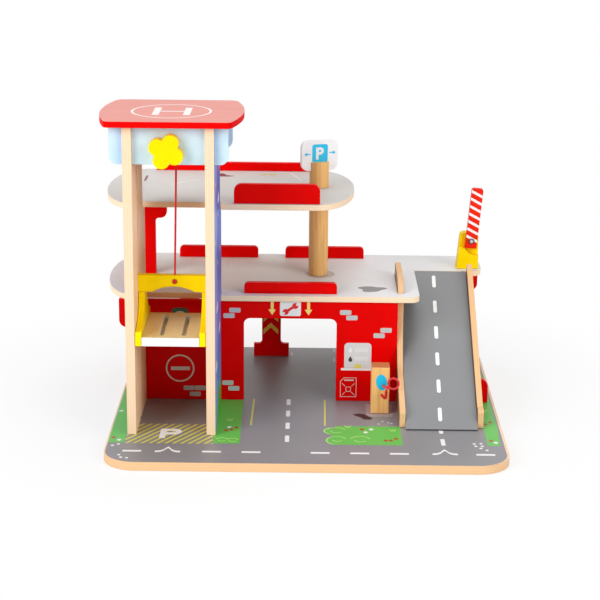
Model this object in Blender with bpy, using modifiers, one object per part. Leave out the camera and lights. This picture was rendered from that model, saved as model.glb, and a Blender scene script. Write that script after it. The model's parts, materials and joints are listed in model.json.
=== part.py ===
# Toy parking garage: a lift tower with a winch, two parking decks, a garage wall,
# a ramp with a barrier and a fuel pump, all of plywood on one base board.
# Units are metres. X runs along the front, Y goes back, Z is up.
# Plan positions are measured from the middle of the base board.

import math

import bmesh
import bpy
from mathutils import Euler, Matrix, Vector

# Clearance between pieces that touch
GAP = 0.0003

# Distance under which loose points are welded
MERGE_DISTANCE = 0.00001

# Base board, and how far the decks stay in from its back edge
BASE_WIDTH = 0.400
BASE_DEPTH = 0.368
BASE_THICKNESS = 0.009
BASE_CORNER_RADIUS = 0.033
DECK_BACK_MARGIN = 0.0123

# Sheet thicknesses
PLY = 0.006
TOWER_PLY = 0.009
ROOF_THICKNESS = 0.006
DECK_THICKNESS = 0.006

# Storeys: clear height under each deck and under the roof
LOWER_STOREY = 0.111
UPPER_STOREY = 0.0924
TOP_STOREY = 0.0991

# Front wall, with the garage door and the end that runs on under the ramp
WALL_SETBACK = 0.003
WALL_EAR_REACH = 0.200
WALL_EAR_HEIGHT = 0.031
WALL_EAR_RADIUS = 0.008
DOOR_CENTRE_X = -0.0188
DOOR_WIDTH = 0.0984
DOOR_HEIGHT = 0.0916
DOOR_RADIUS = 0.0068
WALL_FOOT_REACH = 0.193
WALL_FOOT_HEIGHT = 0.0257
WALL_FOOT_RADIUS = 0.008

# Back trestle: a beam under the lower deck on three legs with wide feet
TRESTLE_SETBACK = 0.0207
TRESTLE_BEAM_HEIGHT = 0.029
TRESTLE_BEAM_RIGHT = 0.193
TRESTLE_LEG_WIDTH = 0.0216
TRESTLE_FOOT_WIDTH = 0.0404
TRESTLE_FOOT_HEIGHT = 0.0146
TRESTLE_FILLET = 0.004
TRESTLE_CENTRE_LEG_X = -0.0422
TRESTLE_RIGHT_LEG_X = 0.148

# Decks
DECK_DEPTH = 0.1757
DECK_LEFT_REACH = 0.2178
DECK_END_BULGE = 0.033
LIFT_RECESS = 0.0088
UPPER_DECK_RIGHT = 0.0484
UPPER_DECK_END_BULGE = 0.040
LOWER_DECK_RIGHT = 0.193
DECK_CORNER_RADIUS = 0.010
DECK_RIGHT_RADIUS = 0.016
DECK_BACK_RADIUS = 0.030
RAMP_BAY_LEFT = 0.1175
RAMP_BAY_DEPTH = 0.1085

# Lift tower: how far its sides reach out from the wall, over the lower deck and at the top
TOWER_CENTRE_X = -0.1367
TOWER_REACH = 0.1083
SHAFT_WIDTH = 0.071
SIDE_OVERLAP = 0.015
SIDE_TOP_SETBACK = 0.005
GUIDE_GROOVE_DEPTH = 0.0025
GUIDE_GROOVE_TOP_DROP = 0.004

# Header boards across the top of the tower
HEADER_HEIGHT = 0.0375
HEADER_EAR = 0.0135
HEADER_RADIUS = 0.008
HEADER_FRONT_INSET = 0.006
HEADER_BACK_INSET = 0.002

# Helipad roof, with bulging sides
ROOF_WIDTH = 0.1426
ROOF_DEPTH = 0.131
ROOF_SIDE_RADIUS = 0.205
ROOF_FRONT_RADIUS = 0.006
ROOF_BACK_RADIUS = 0.009
ROOF_OVERHANG = 0.0064

# Winch
WINCH_X = -0.1384
WINCH_DROP = 0.0235
KNOB_THICKNESS = 0.0115
KNOB_LOBE_OFFSET = 0.0094
KNOB_LOBE_RADIUS = 0.0082
KNOB_LOBES = 4
KNOB_POINTS = 64
KNOB_START_ANGLE = math.radians(62.8)
KNOB_BORE_DEPTH = 0.008
AXLE_RADIUS = 0.00505
AXLE_CLEARANCE = 0.0004
END_STOP_RADIUS = 0.008
END_STOP_THICKNESS = 0.005
WINDING_WIDTH = 0.012

# Lift string
STRING_DIAMETER = 0.0019
KNOT_RADIUS = 0.0025
KNOT_DROP = 0.0063
STRING_LOWER_X = -0.1352
STRING_SETBACK = 0.0035

# Lift car
CAR_SIDE_CLEARANCE = 0.0005
CAR_FLOOR_HEIGHT = 0.0938
CAR_FLOOR_THICKNESS = 0.009
CAR_FLOOR_DEPTH = 0.088
CAR_SIDE_DEPTH = 0.095
CAR_SIDE_FOOT = 0.0143
CAR_SIDE_HEIGHT = 0.0439
CAR_SIDE_TOP_WIDTH = 0.024
CAR_SIDE_TOP_SETBACK = 0.0433
CAR_FOOT_RADIUS = 0.003
ARCH_THICKNESS = 0.008
ARCH_END_HEIGHT = 0.0175
ARCH_SPAN = 0.0434
ARCH_RISE = 0.0057
TONGUE_LENGTH = 0.002
FLOOR_SLOT_WIDTH = 0.0045
FLOOR_SLOT_LENGTH = 0.070
FLOOR_SLOT_DEPTH = 0.006
FLOOR_SLOT_SPACING = 0.0221
FLOOR_SLOT_SETBACK = 0.0083
FLOOR_SLOT_SHIFT = 0.0015

# Upper column between the decks
COLUMN_INSET = 0.084
COLUMN_CENTRE_X = -0.1785
COLUMN_WIDTH = 0.0216
COLUMN_HEAD_WIDTH = 0.0466
COLUMN_HEAD_HEIGHT = 0.029
COLUMN_HEAD_RADIUS = 0.007
COLUMN_FILLET = 0.004

# Pole and sign
POLE_X = 0.01035
POLE_INSET = 0.0906
POLE_DIAMETER = 0.021
POLE_TOP_LENGTH = 0.0276
SIGN_WIDTH = 0.0405
SIGN_HEIGHT = 0.0330
SIGN_THICKNESS = 0.005
SIGN_RADIUS = 0.0075
SIGN_SLOT_DEPTH = 0.0098
SIGN_TURN = math.radians(17.0)
SIGN_SHIFT_X = -0.0006

# Guard rails
LOWER_FRONT_RAIL_HEIGHT = 0.0117
LOWER_BACK_RAIL_HEIGHT = 0.0128
UPPER_RAIL_HEIGHT = 0.0206
LONG_RAIL_HEIGHT = 0.0092
LOWER_RAIL_RADIUS = 0.0045
UPPER_RAIL_RADIUS = 0.0078
LONG_RAIL_RADIUS = 0.003
FRONT_RAIL_SETBACK = 0.009
UPPER_FRONT_RAIL_SETBACK = 0.003
BACK_RAIL_SETBACK = 0.0115
LONG_RAIL_SETBACK = 0.0005
LOWER_FRONT_RAIL_LENGTH = 0.098
SHORT_RAIL_LENGTH = 0.0894
LONG_RAIL_LENGTH = 0.184
BACK_LEFT_RAIL_X = -0.1025
BACK_RIGHT_RAIL_X = 0.0179
UPPER_FRONT_RAIL_X = -0.0336
LONG_RAIL_X = -0.081

# Ramp
RAMP_RUN = 0.1931
RAMP_CENTRE_X = 0.1381
RAMP_WIDTH = 0.0736
RAMP_THICKNESS = 0.005
RAMP_FOOT_EDGE = 0.0013
RAMP_SIDE_FOOT_GAP = 0.0086
RAMP_SIDE_RISE = 0.011
RAMP_NOSE_HEIGHT = 0.0197
RAMP_NOSE_RADIUS = 0.004
RAMP_NOSE_LENGTH = 0.0107
RAMP_SIDE_END_GAP = 0.003
GUARD_START_INSET = 0.0143
GUARD_END_INSET = 0.0915
GUARD_HEIGHT = 0.0147
GUARD_CURVE_LENGTH = 0.038
GUARD_END_RADIUS = 0.004
SWOOP_SLOPE = math.radians(19.0)
SWOOP_START_HEIGHT = 0.0182
STEP_INSET = 0.0095
STEP_RADIUS = 0.060

# Barrier
BARRIER_POST_X = 0.1893
BARRIER_POST_WIDTH = 0.0238
BARRIER_POST_TOP_WIDTH = 0.0208
BARRIER_POST_HEIGHT = 0.0398
BARRIER_POST_DEPTH = 0.018
BARRIER_POST_RADIUS = 0.005
BARRIER_SETBACK = 0.0105
BARRIER_LEDGE_SLOPE = math.radians(12.6)
BARRIER_RECESS_SHIFT = 0.0069
BARRIER_RECESS_RADIUS = 0.0165
BARRIER_RECESS_START = 211.0
ARM_LENGTH = 0.0680
ARM_WIDTH = 0.0128
ARM_THICKNESS = 0.006
ARM_RADIUS = 0.0025
ARM_TAIL = 0.0084
ARM_LEAN = math.radians(4.7)
PIVOT_INSET_X = 0.0082
PIVOT_HEIGHT = 0.032
SCREW_HEAD_RADIUS = 0.0031
SCREW_HEAD_THICKNESS = 0.0014
SCREW_SHANK_RADIUS = 0.0015
SCREW_CROWN = 0.8
SCREW_LENGTH = 0.0115
SCREW_CLEARANCE = 0.0004
SCREW_SIDES = 24

# Fuel pump and its hose
PUMP_X = 0.0763
PUMP_REACH = 0.0395
PUMP_WIDTH = 0.019
PUMP_DEPTH = 0.0186
PUMP_HEIGHT = 0.0512
PUMP_EDGE = 0.0007
HOSE_DIAMETER = 0.0022
HOSE_BORE_DEPTH = 0.005
HOSE_BORE_X = 0.0031
HOSE_BORE_HEIGHT = 0.0315
HOSE_LOOP_RADIUS = 0.0055
HOSE_LOOP_X = 0.0896
HOSE_LOOP_HEIGHT = 0.0364
HOSE_LOOP_POINTS = 24
HOSE_LOOP_START = math.radians(215.0)
HOSE_LOOP_STANDOFF = 0.0060
HOSE_LOOP_ADVANCE = 0.0035
HOSE_STEP = 0.0018
NOZZLE_DIAMETER = 0.0029

# Finishes: colour, roughness, metallic
PEACH_PLY = ((0.84, 0.64, 0.42), 0.55, 0.0)
GREY_PRINT = ((0.52, 0.51, 0.51), 0.5, 0.0)
RED_PAINT = ((0.72, 0.005, 0.004), 0.38, 0.0)
ROOF_RED = ((0.80, 0.42, 0.36), 0.4, 0.0)
PALE_BLUE = ((0.62, 0.78, 0.86), 0.42, 0.0)
YELLOW_PAINT = ((0.95, 0.66, 0.004), 0.38, 0.0)
WHITE_PAINT = ((0.78, 0.77, 0.76), 0.42, 0.0)
DECK_GREY = ((0.60, 0.59, 0.57), 0.45, 0.0)
ROAD_GREY = ((0.30, 0.31, 0.32), 0.5, 0.0)
PINE = ((0.80, 0.50, 0.20), 0.5, 0.0)
STRIPE_RED = ((0.80, 0.03, 0.01), 0.4, 0.0)
CORD_RED = ((0.55, 0.01, 0.015), 0.6, 0.0)
STEEL = ((0.55, 0.55, 0.56), 0.3, 1.0)

# Heights that follow from the storeys
BASE_TOP = BASE_THICKNESS
LOWER_DECK_UNDER = BASE_TOP + LOWER_STOREY
LOWER_DECK_TOP = LOWER_DECK_UNDER + DECK_THICKNESS
UPPER_DECK_UNDER = LOWER_DECK_TOP + UPPER_STOREY
UPPER_DECK_TOP = UPPER_DECK_UNDER + DECK_THICKNESS
ROOF_UNDER = UPPER_DECK_TOP + TOP_STOREY

# Plan positions that follow from the tower, decks and ramp
TOWER_INNER_LEFT = TOWER_CENTRE_X - SHAFT_WIDTH / 2
TOWER_INNER_RIGHT = TOWER_CENTRE_X + SHAFT_WIDTH / 2
TOWER_OUTER_LEFT = TOWER_INNER_LEFT - TOWER_PLY
TOWER_OUTER_RIGHT = TOWER_INNER_RIGHT + TOWER_PLY
DECK_BACK_Y = BASE_DEPTH / 2 - DECK_BACK_MARGIN
DECK_FRONT_Y = DECK_BACK_Y - DECK_DEPTH
DECK_MIDDLE_Y = DECK_FRONT_Y + DECK_DEPTH / 2
WALL_FRONT_Y = DECK_FRONT_Y + WALL_SETBACK
WALL_BACK_Y = WALL_FRONT_Y + PLY
TRESTLE_FRONT_Y = DECK_BACK_Y - TRESTLE_SETBACK
TOWER_FRONT_Y = WALL_FRONT_Y - TOWER_REACH
SIDE_MIDDLE_BACK_Y = DECK_FRONT_Y + SIDE_OVERLAP
SIDE_TOP_BACK_Y = DECK_FRONT_Y - SIDE_TOP_SETBACK
ROOF_CENTRE_Y = TOWER_FRONT_Y - ROOF_OVERHANG + ROOF_DEPTH / 2
COLUMN_Y = DECK_FRONT_Y + COLUMN_INSET
POLE_Y = DECK_FRONT_Y + POLE_INSET
RAMP_TOP_Y = DECK_FRONT_Y + RAMP_BAY_DEPTH
RAMP_FOOT_Y = RAMP_TOP_Y - RAMP_RUN
RAMP_SIDE_FRONT_Y = RAMP_FOOT_Y + RAMP_SIDE_FOOT_GAP
GUARD_START_Y = DECK_FRONT_Y + GUARD_START_INSET
GUARD_END_Y = DECK_FRONT_Y + GUARD_END_INSET
STEP_Y = DECK_FRONT_Y + STEP_INSET
PUMP_FRONT_Y = WALL_FRONT_Y - PUMP_REACH
RAMP_LEFT = RAMP_CENTRE_X - RAMP_WIDTH / 2
RAMP_RIGHT = RAMP_CENTRE_X + RAMP_WIDTH / 2
LEFT_SIDE_INNER = RAMP_LEFT - GAP
RIGHT_SIDE_INNER = RAMP_RIGHT + GAP
RAMP_FOOT_Z = BASE_TOP + GAP + RAMP_FOOT_EDGE
RAMP_SLOPE = (LOWER_DECK_TOP - RAMP_FOOT_Z) / (RAMP_TOP_Y - RAMP_FOOT_Y)
WINCH_Z = ROOF_UNDER - WINCH_DROP
STRING_RADIUS = STRING_DIAMETER / 2
WINDING_RADIUS = AXLE_RADIUS + STRING_DIAMETER
CAR_FLOOR_UNDER = BASE_TOP + CAR_FLOOR_HEIGHT
CAR_SIDE_TOP = CAR_FLOOR_UNDER + CAR_SIDE_HEIGHT
ARCH_FRONT_Y = TOWER_FRONT_Y + CAR_SIDE_TOP_SETBACK
ARCH_TOP = CAR_SIDE_TOP + ARCH_END_HEIGHT
STRING_Y = ARCH_FRONT_Y + STRING_SETBACK
HEADER_FRONT_Y = TOWER_FRONT_Y + HEADER_FRONT_INSET
HEADER_REAR_Y = SIDE_TOP_BACK_Y - HEADER_BACK_INSET - PLY
BARRIER_FRONT_Y = RAMP_TOP_Y + BARRIER_SETBACK
PIVOT_X = BARRIER_POST_X - PIVOT_INSET_X
PIVOT_Z = LOWER_DECK_TOP + PIVOT_HEIGHT

# Boards are drawn flat and turned to face up, forwards or sideways
FACING = {
    "up": Euler((0, 0, 0)),
    "front": Euler((math.pi / 2, 0, 0)),
    "side": Euler((math.pi / 2, 0, math.pi / 2)),
}
THICKNESS_AXIS = {"up": 2, "front": 1, "side": 0}


def clear_scene():
    for leftover in list(bpy.data.objects):
        bpy.data.objects.remove(leftover)


def new_collection(name):
    collection = bpy.data.collections.new(name)
    bpy.context.scene.collection.children.link(collection)
    return collection


clear_scene()
PARTS = new_collection("toy_garage")
CUTTERS = new_collection("cutters")


def finish(name, values):
    """A painted, printed or bare surface from its colour, roughness and metallic value."""
    colour, roughness, metallic = values
    material = bpy.data.materials.new(name)
    material.use_nodes = True
    shader = material.node_tree.nodes["Principled BSDF"]
    shader.inputs["Base Color"].default_value = (*colour, 1)
    shader.inputs["Roughness"].default_value = roughness
    shader.inputs["Metallic"].default_value = metallic
    return material


# Outlines

def arc(centre, radius, start, end, steps=6):
    """Points along an arc, in degrees, both ends included."""
    points = []
    for step in range(steps + 1):
        angle = math.radians(start + (end - start) * step / steps)
        points.append((centre[0] + radius * math.cos(angle), centre[1] + radius * math.sin(angle)))
    return points


def ellipse_arc(centre, half_width, half_height, start, end, steps):
    """Points along part of an ellipse, in degrees, both ends included."""
    points = []
    for step in range(steps + 1):
        angle = math.radians(start + (end - start) * step / steps)
        across = centre[0] + half_width * math.cos(angle)
        points.append((across, centre[1] + half_height * math.sin(angle)))
    return points


def circle(centre, radius, steps=24):
    return arc(centre, radius, 0, 360 - 360 / steps, steps - 1)


def rectangle(left, bottom, right, top):
    return [(left, bottom), (right, bottom), (right, top), (left, top)]


def rounded_rectangle(left, bottom, right, top, radius, steps=6):
    """A rectangle with four equal round corners."""
    points = arc((left + radius, bottom + radius), radius, 180, 270, steps)
    points += arc((right - radius, bottom + radius), radius, 270, 360, steps)
    points += arc((right - radius, top - radius), radius, 0, 90, steps)
    points += arc((left + radius, top - radius), radius, 90, 180, steps)
    return points


def rail_outline(length, height, radius):
    """A guard rail from the front: square at the foot, round at its top corners."""
    half = length / 2
    points = [(-half, 0), (half, 0)]
    points += arc((half - radius, height - radius), radius, 0, 90, 5)
    points += arc((-half + radius, height - radius), radius, 90, 180, 5)
    return points


# Solids

def hold(piece, parent):
    """Hangs a piece, placed in garage coordinates, on an empty that may itself be placed."""
    piece.parent = parent
    if parent is not GARAGE:
        piece.location = piece.location - parent.location


def board(name, facing, outline, thickness, start, surface, holes=(), place=(0, 0), parent=None):
    """A flat board whose thickness begins at start and runs towards +X, +Y or +Z.

    The outline and holes are measured from place, in the board's own plane.
    """
    curve = bpy.data.curves.new(name, "CURVE")
    curve.dimensions = "2D"
    curve.fill_mode = "BOTH"
    curve.extrude = thickness / 2
    for loop in (outline, *holes):
        spline = curve.splines.new("POLY")
        spline.points.add(len(loop) - 1)
        for point, corner in zip(spline.points, loop):
            point.co = (*corner, 0, 1)
        spline.use_cyclic_u = True
    curve.materials.append(surface)
    piece = bpy.data.objects.new(name, curve)
    piece.rotation_euler = FACING[facing]
    location = list(place)
    location.insert(THICKNESS_AXIS[facing], start + thickness / 2)
    piece.location = location
    PARTS.objects.link(piece)
    hold(piece, parent or GARAGE)
    return piece


def shade_round(mesh):
    """Smooth shading that keeps edges crisp."""
    mesh.shade_smooth()
    mesh.set_sharp_from_angle(angle=math.radians(30))


def as_mesh(piece):
    """Turns a board into a mesh with welded caps, so that it can be cut."""
    bpy.context.view_layer.update()
    evaluated = piece.evaluated_get(bpy.context.evaluated_depsgraph_get())
    mesh = bpy.data.meshes.new_from_object(evaluated)
    shape = bmesh.new()
    shape.from_mesh(mesh)
    bmesh.ops.remove_doubles(shape, verts=shape.verts, dist=MERGE_DISTANCE)
    bmesh.ops.recalc_face_normals(shape, faces=shape.faces)
    shape.to_mesh(mesh)
    shape.free()
    shade_round(mesh)
    name, parent, matrix = piece.name, piece.parent, piece.matrix_world.copy()
    bpy.data.objects.remove(piece)
    solid = bpy.data.objects.new(name, mesh)
    PARTS.objects.link(solid)
    solid.parent = parent
    solid.matrix_world = matrix
    bpy.context.view_layer.update()
    return solid


def solid_piece(name, mesh, location, surface, parent=None, collection=PARTS):
    piece = bpy.data.objects.new(name, mesh)
    piece.location = location
    if surface:
        mesh.materials.append(surface)
    collection.objects.link(piece)
    hold(piece, parent or GARAGE)
    return piece


def box_mesh(name, size):
    mesh = bpy.data.meshes.new(name)
    shape = bmesh.new()
    bmesh.ops.create_cube(shape, size=1, matrix=Matrix.Diagonal((*size, 1)))
    shape.to_mesh(mesh)
    shape.free()
    return mesh


def cylinder_mesh(name, radius, length, axis="Z", sides=32):
    """A cylinder centred on its own origin, shaded smooth round its side."""
    mesh = bpy.data.meshes.new(name)
    turn = Matrix.Rotation(math.pi / 2, 4, "X") if axis == "Y" else Matrix.Identity(4)
    shape = bmesh.new()
    bmesh.ops.create_cone(shape, cap_ends=True, segments=sides, radius1=radius, radius2=radius,
                          depth=length, matrix=turn)
    shape.to_mesh(mesh)
    shape.free()
    shade_round(mesh)
    return mesh


def between(low, high):
    """Middle and size of a box from its lowest and highest corners."""
    low, high = Vector(low), Vector(high)
    return (low + high) / 2, high - low


def block(name, low, high, surface, parent=None):
    middle, size = between(low, high)
    return solid_piece(name, box_mesh(name, size), middle, surface, parent)


def cutter(name, mesh, location, parent=None):
    piece = solid_piece(name, mesh, location, None, parent, CUTTERS)
    piece.hide_render = True
    piece.display_type = "WIRE"
    return piece


def box_cutter(name, low, high, parent=None):
    middle, size = between(low, high)
    return cutter(name, box_mesh(name, size), middle, parent)


def cut(piece, tool):
    modifier = piece.modifiers.new(tool.name, "BOOLEAN")
    modifier.operation = "DIFFERENCE"
    modifier.object = tool


def tube(name, points, diameter, surface, resolution=2, parent=None):
    """A round cord or rod along its points, with closed ends."""
    curve = bpy.data.curves.new(name, "CURVE")
    curve.dimensions = "3D"
    curve.bevel_depth = diameter / 2
    curve.bevel_resolution = resolution
    curve.use_fill_caps = True
    spline = curve.splines.new("POLY")
    spline.points.add(len(points) - 1)
    for point, place in zip(spline.points, points):
        point.co = (*place, 1)
    curve.materials.append(surface)
    piece = bpy.data.objects.new(name, curve)
    PARTS.objects.link(piece)
    hold(piece, parent or GARAGE)
    return piece


def empty(name, location, parent=None):
    pivot = bpy.data.objects.new(name, None)
    pivot.location = location
    PARTS.objects.link(pivot)
    pivot.parent = parent
    return pivot


# The garage stands with the middle of its footprint on the origin,
# although the decks reach further left than the base board
GARAGE = empty("garage", ((DECK_LEFT_REACH - BASE_WIDTH / 2) / 2, 0, 0))
WINCH = empty("winch_axis", (WINCH_X, TOWER_FRONT_Y, WINCH_Z), GARAGE)
LIFT = empty("lift_slide", (TOWER_CENTRE_X, TOWER_FRONT_Y, CAR_FLOOR_UNDER), GARAGE)
BARRIER = empty("barrier_axis", (PIVOT_X, BARRIER_FRONT_Y, PIVOT_Z), GARAGE)

PLY_FINISH = finish("peach_plywood", PEACH_PLY)
GREY_FINISH = finish("grey_print", GREY_PRINT)
RED_FINISH = finish("red_paint", RED_PAINT)
ROOF_FINISH = finish("roof_red", ROOF_RED)
BLUE_FINISH = finish("pale_blue_paint", PALE_BLUE)
YELLOW_FINISH = finish("yellow_paint", YELLOW_PAINT)
WHITE_FINISH = finish("white_paint", WHITE_PAINT)
DECK_FINISH = finish("deck_grey_print", DECK_GREY)
ROAD_FINISH = finish("road_grey_print", ROAD_GREY)
PINE_FINISH = finish("bare_pine", PINE)
STRIPE_FINISH = finish("stripe_red_paint", STRIPE_RED)
CORD_FINISH = finish("red_cord", CORD_RED)
STEEL_FINISH = finish("steel", STEEL)


# Base and walls

def make_base_board():
    outline = rounded_rectangle(-BASE_WIDTH / 2, -BASE_DEPTH / 2, BASE_WIDTH / 2, BASE_DEPTH / 2,
                                BASE_CORNER_RADIUS, 9)
    board("base_board", "up", outline, BASE_THICKNESS, 0, GREY_FINISH)


def make_front_wall():
    """The wall from the ear left of the tower to its low end under the ramp."""
    foot = BASE_TOP + GAP
    top = LOWER_DECK_UNDER - GAP
    ear_under = LOWER_DECK_UNDER - WALL_EAR_HEIGHT
    right = LEFT_SIDE_INNER - PLY - GAP
    low_top = BASE_TOP + WALL_FOOT_HEIGHT
    door_left = DOOR_CENTRE_X - DOOR_WIDTH / 2
    door_right = DOOR_CENTRE_X + DOOR_WIDTH / 2
    door_head = BASE_TOP + DOOR_HEIGHT - DOOR_RADIUS
    outline = [(-WALL_EAR_REACH, top)]
    outline += arc((-WALL_EAR_REACH + WALL_EAR_RADIUS, ear_under + WALL_EAR_RADIUS),
                   WALL_EAR_RADIUS, 180, 270)
    outline += [(TOWER_OUTER_LEFT, ear_under), (TOWER_OUTER_LEFT, foot), (door_left, foot)]
    outline += arc((door_left + DOOR_RADIUS, door_head), DOOR_RADIUS, 180, 90)
    outline += arc((door_right - DOOR_RADIUS, door_head), DOOR_RADIUS, 90, 0)
    outline += [(door_right, foot), (WALL_FOOT_REACH, foot)]
    outline += arc((WALL_FOOT_REACH - WALL_FOOT_RADIUS, low_top - WALL_FOOT_RADIUS),
                   WALL_FOOT_RADIUS, 0, 90)
    outline += [(right, low_top), (right, top)]
    board("front_wall", "front", outline, PLY, WALL_FRONT_Y, RED_FINISH)


def leg_outline(centre, foot, under):
    """The left, bottom and right of one trestle leg, from its top left to its top right."""
    half = TRESTLE_LEG_WIDTH / 2
    wide = TRESTLE_FOOT_WIDTH / 2
    ankle = foot + TRESTLE_FOOT_HEIGHT
    fillet = TRESTLE_FILLET
    points = arc((centre - half - fillet, under - fillet), fillet, 90, 0, 4)
    points += arc((centre - half - fillet, ankle + fillet), fillet, 0, -90, 4)
    points += [(centre - wide, ankle), (centre - wide, foot), (centre + wide, foot), (centre + wide, ankle)]
    points += arc((centre + half + fillet, ankle + fillet), fillet, 270, 180, 4)
    points += arc((centre + half + fillet, under - fillet), fillet, 180, 90, 4)
    return points


def make_back_trestle():
    foot = BASE_TOP + GAP
    top = LOWER_DECK_UNDER - GAP
    under = LOWER_DECK_UNDER - TRESTLE_BEAM_HEIGHT
    radius = WALL_EAR_RADIUS
    outline = [(-WALL_EAR_REACH, top)]
    outline += arc((-WALL_EAR_REACH + radius, under + radius), radius, 180, 270)
    for centre in (TOWER_CENTRE_X, TRESTLE_CENTRE_LEG_X, TRESTLE_RIGHT_LEG_X):
        outline += leg_outline(centre, foot, under)
    outline += arc((TRESTLE_BEAM_RIGHT - radius, under + radius), radius, 270, 360)
    outline += [(TRESTLE_BEAM_RIGHT, top)]
    board("back_trestle", "front", outline, PLY, TRESTLE_FRONT_Y, RED_FINISH)


# Decks

def deck_left_end():
    """The bulging left end that both decks share, from back to front."""
    centre = (-DECK_LEFT_REACH + DECK_END_BULGE, DECK_MIDDLE_Y)
    return ellipse_arc(centre, DECK_END_BULGE, DECK_DEPTH / 2, 90, 270, 24)


def make_lower_deck():
    """The long deck, with the lift recess, slots for the tower sides and the ramp bay."""
    slot_back = SIDE_MIDDLE_BACK_Y + GAP
    recess = DECK_FRONT_Y + LIFT_RECESS
    corner = DECK_CORNER_RADIUS
    right = DECK_RIGHT_RADIUS
    back = DECK_BACK_RADIUS
    outline = deck_left_end()
    outline += [(TOWER_OUTER_LEFT - GAP, DECK_FRONT_Y), (TOWER_OUTER_LEFT - GAP, slot_back)]
    outline += [(TOWER_INNER_LEFT + GAP, slot_back), (TOWER_INNER_LEFT + GAP, recess)]
    outline += [(TOWER_INNER_RIGHT - GAP, recess), (TOWER_INNER_RIGHT - GAP, slot_back)]
    outline += [(TOWER_OUTER_RIGHT + GAP, slot_back), (TOWER_OUTER_RIGHT + GAP, DECK_FRONT_Y)]
    outline += arc((RAMP_BAY_LEFT - corner, DECK_FRONT_Y + corner), corner, 270, 360)
    outline += [(RAMP_BAY_LEFT, RAMP_TOP_Y)]
    outline += arc((LOWER_DECK_RIGHT - right, RAMP_TOP_Y + right), right, 270, 360)
    outline += arc((LOWER_DECK_RIGHT - back, DECK_BACK_Y - back), back, 0, 90)
    guard_slot = rectangle(LEFT_SIDE_INNER - PLY - GAP, GUARD_START_Y - GAP, LEFT_SIDE_INNER + GAP,
                           GUARD_END_Y + GAP)
    board("deck_lower", "up", outline, DECK_THICKNESS, LOWER_DECK_UNDER, DECK_FINISH, [guard_slot])


def make_upper_deck():
    recess = DECK_FRONT_Y + LIFT_RECESS
    outline = deck_left_end()
    outline += [(TOWER_OUTER_LEFT - GAP, DECK_FRONT_Y), (TOWER_OUTER_LEFT - GAP, recess)]
    outline += [(TOWER_OUTER_RIGHT + GAP, recess), (TOWER_OUTER_RIGHT + GAP, DECK_FRONT_Y)]
    centre = (UPPER_DECK_RIGHT - UPPER_DECK_END_BULGE, DECK_MIDDLE_Y)
    outline += ellipse_arc(centre, UPPER_DECK_END_BULGE, DECK_DEPTH / 2, -90, 90, 24)
    board("deck_upper", "up", outline, DECK_THICKNESS, UPPER_DECK_UNDER, DECK_FINISH)


def make_upper_column():
    """The red post with a wide head that carries the left of the upper deck."""
    foot = LOWER_DECK_TOP + GAP
    top = UPPER_DECK_UNDER - GAP
    under = top - COLUMN_HEAD_HEIGHT
    half = COLUMN_WIDTH / 2
    wide = COLUMN_HEAD_WIDTH / 2
    radius = COLUMN_HEAD_RADIUS
    fillet = COLUMN_FILLET
    outline = [(-half, foot), (half, foot)]
    outline += arc((half + fillet, under - fillet), fillet, 180, 90, 4)
    outline += arc((wide - radius, under + radius), radius, 270, 360)
    outline += [(wide, top), (-wide, top)]
    outline += arc((-wide + radius, under + radius), radius, 180, 270)
    outline += arc((-half - fillet, under - fillet), fillet, 90, 0, 4)
    board("upper_column", "front", outline, PLY, COLUMN_Y, RED_FINISH, place=(COLUMN_CENTRE_X, 0))


# Tower

def tower_side_outline():
    """A tower side seen from the right: two header slots at the top, steps at its back edge."""
    foot = BASE_TOP + GAP
    top = ROOF_UNDER - GAP
    slot_floor = ROOF_UNDER - HEADER_HEIGHT - 2 * GAP
    outline = [(TOWER_FRONT_Y, foot), (WALL_FRONT_Y - GAP, foot), (WALL_FRONT_Y - GAP, LOWER_DECK_UNDER)]
    outline += [(SIDE_MIDDLE_BACK_Y, LOWER_DECK_UNDER), (SIDE_MIDDLE_BACK_Y, UPPER_DECK_UNDER - GAP)]
    outline += [(SIDE_TOP_BACK_Y, UPPER_DECK_UNDER - GAP), (SIDE_TOP_BACK_Y, top)]
    for header_front in (HEADER_REAR_Y, HEADER_FRONT_Y):
        back = header_front + PLY + GAP
        front = header_front - GAP
        outline += [(back, top), (back, slot_floor), (front, slot_floor), (front, top)]
    outline += [(TOWER_FRONT_Y, top)]
    return outline


def make_tower_side(name, start, groove_left):
    """One side of the tower, with the groove that guides the lift car cut in its inner face."""
    side = as_mesh(board(name, "side", tower_side_outline(), TOWER_PLY, start, PLY_FINISH))
    groove_top = ROOF_UNDER - HEADER_HEIGHT - GUIDE_GROOVE_TOP_DROP
    low = (groove_left, ARCH_FRONT_Y - CAR_SIDE_CLEARANCE, 0)
    groove_back = ARCH_FRONT_Y + ARCH_THICKNESS + CAR_SIDE_CLEARANCE
    high = (groove_left + 2 * GUIDE_GROOVE_DEPTH, groove_back, groove_top)
    cut(side, box_cutter(name + "_groove", low, high))


def make_header(name, front_y):
    """A blue board across the tower, with an ear on each side and a hole for the axle."""
    half = SHAFT_WIDTH / 2 + TOWER_PLY + HEADER_EAR
    bottom = ROOF_UNDER - HEADER_HEIGHT - GAP
    top = ROOF_UNDER - GAP
    radius = HEADER_RADIUS
    outline = arc((-half + radius, bottom + radius), radius, 180, 270)
    outline += arc((half - radius, bottom + radius), radius, 270, 360)
    outline += [(half, top), (-half, top)]
    hole = circle((WINCH_X - TOWER_CENTRE_X, WINCH_Z), AXLE_RADIUS + AXLE_CLEARANCE)
    board(name, "front", outline, PLY, front_y, BLUE_FINISH, [hole], place=(TOWER_CENTRE_X, 0))


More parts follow.
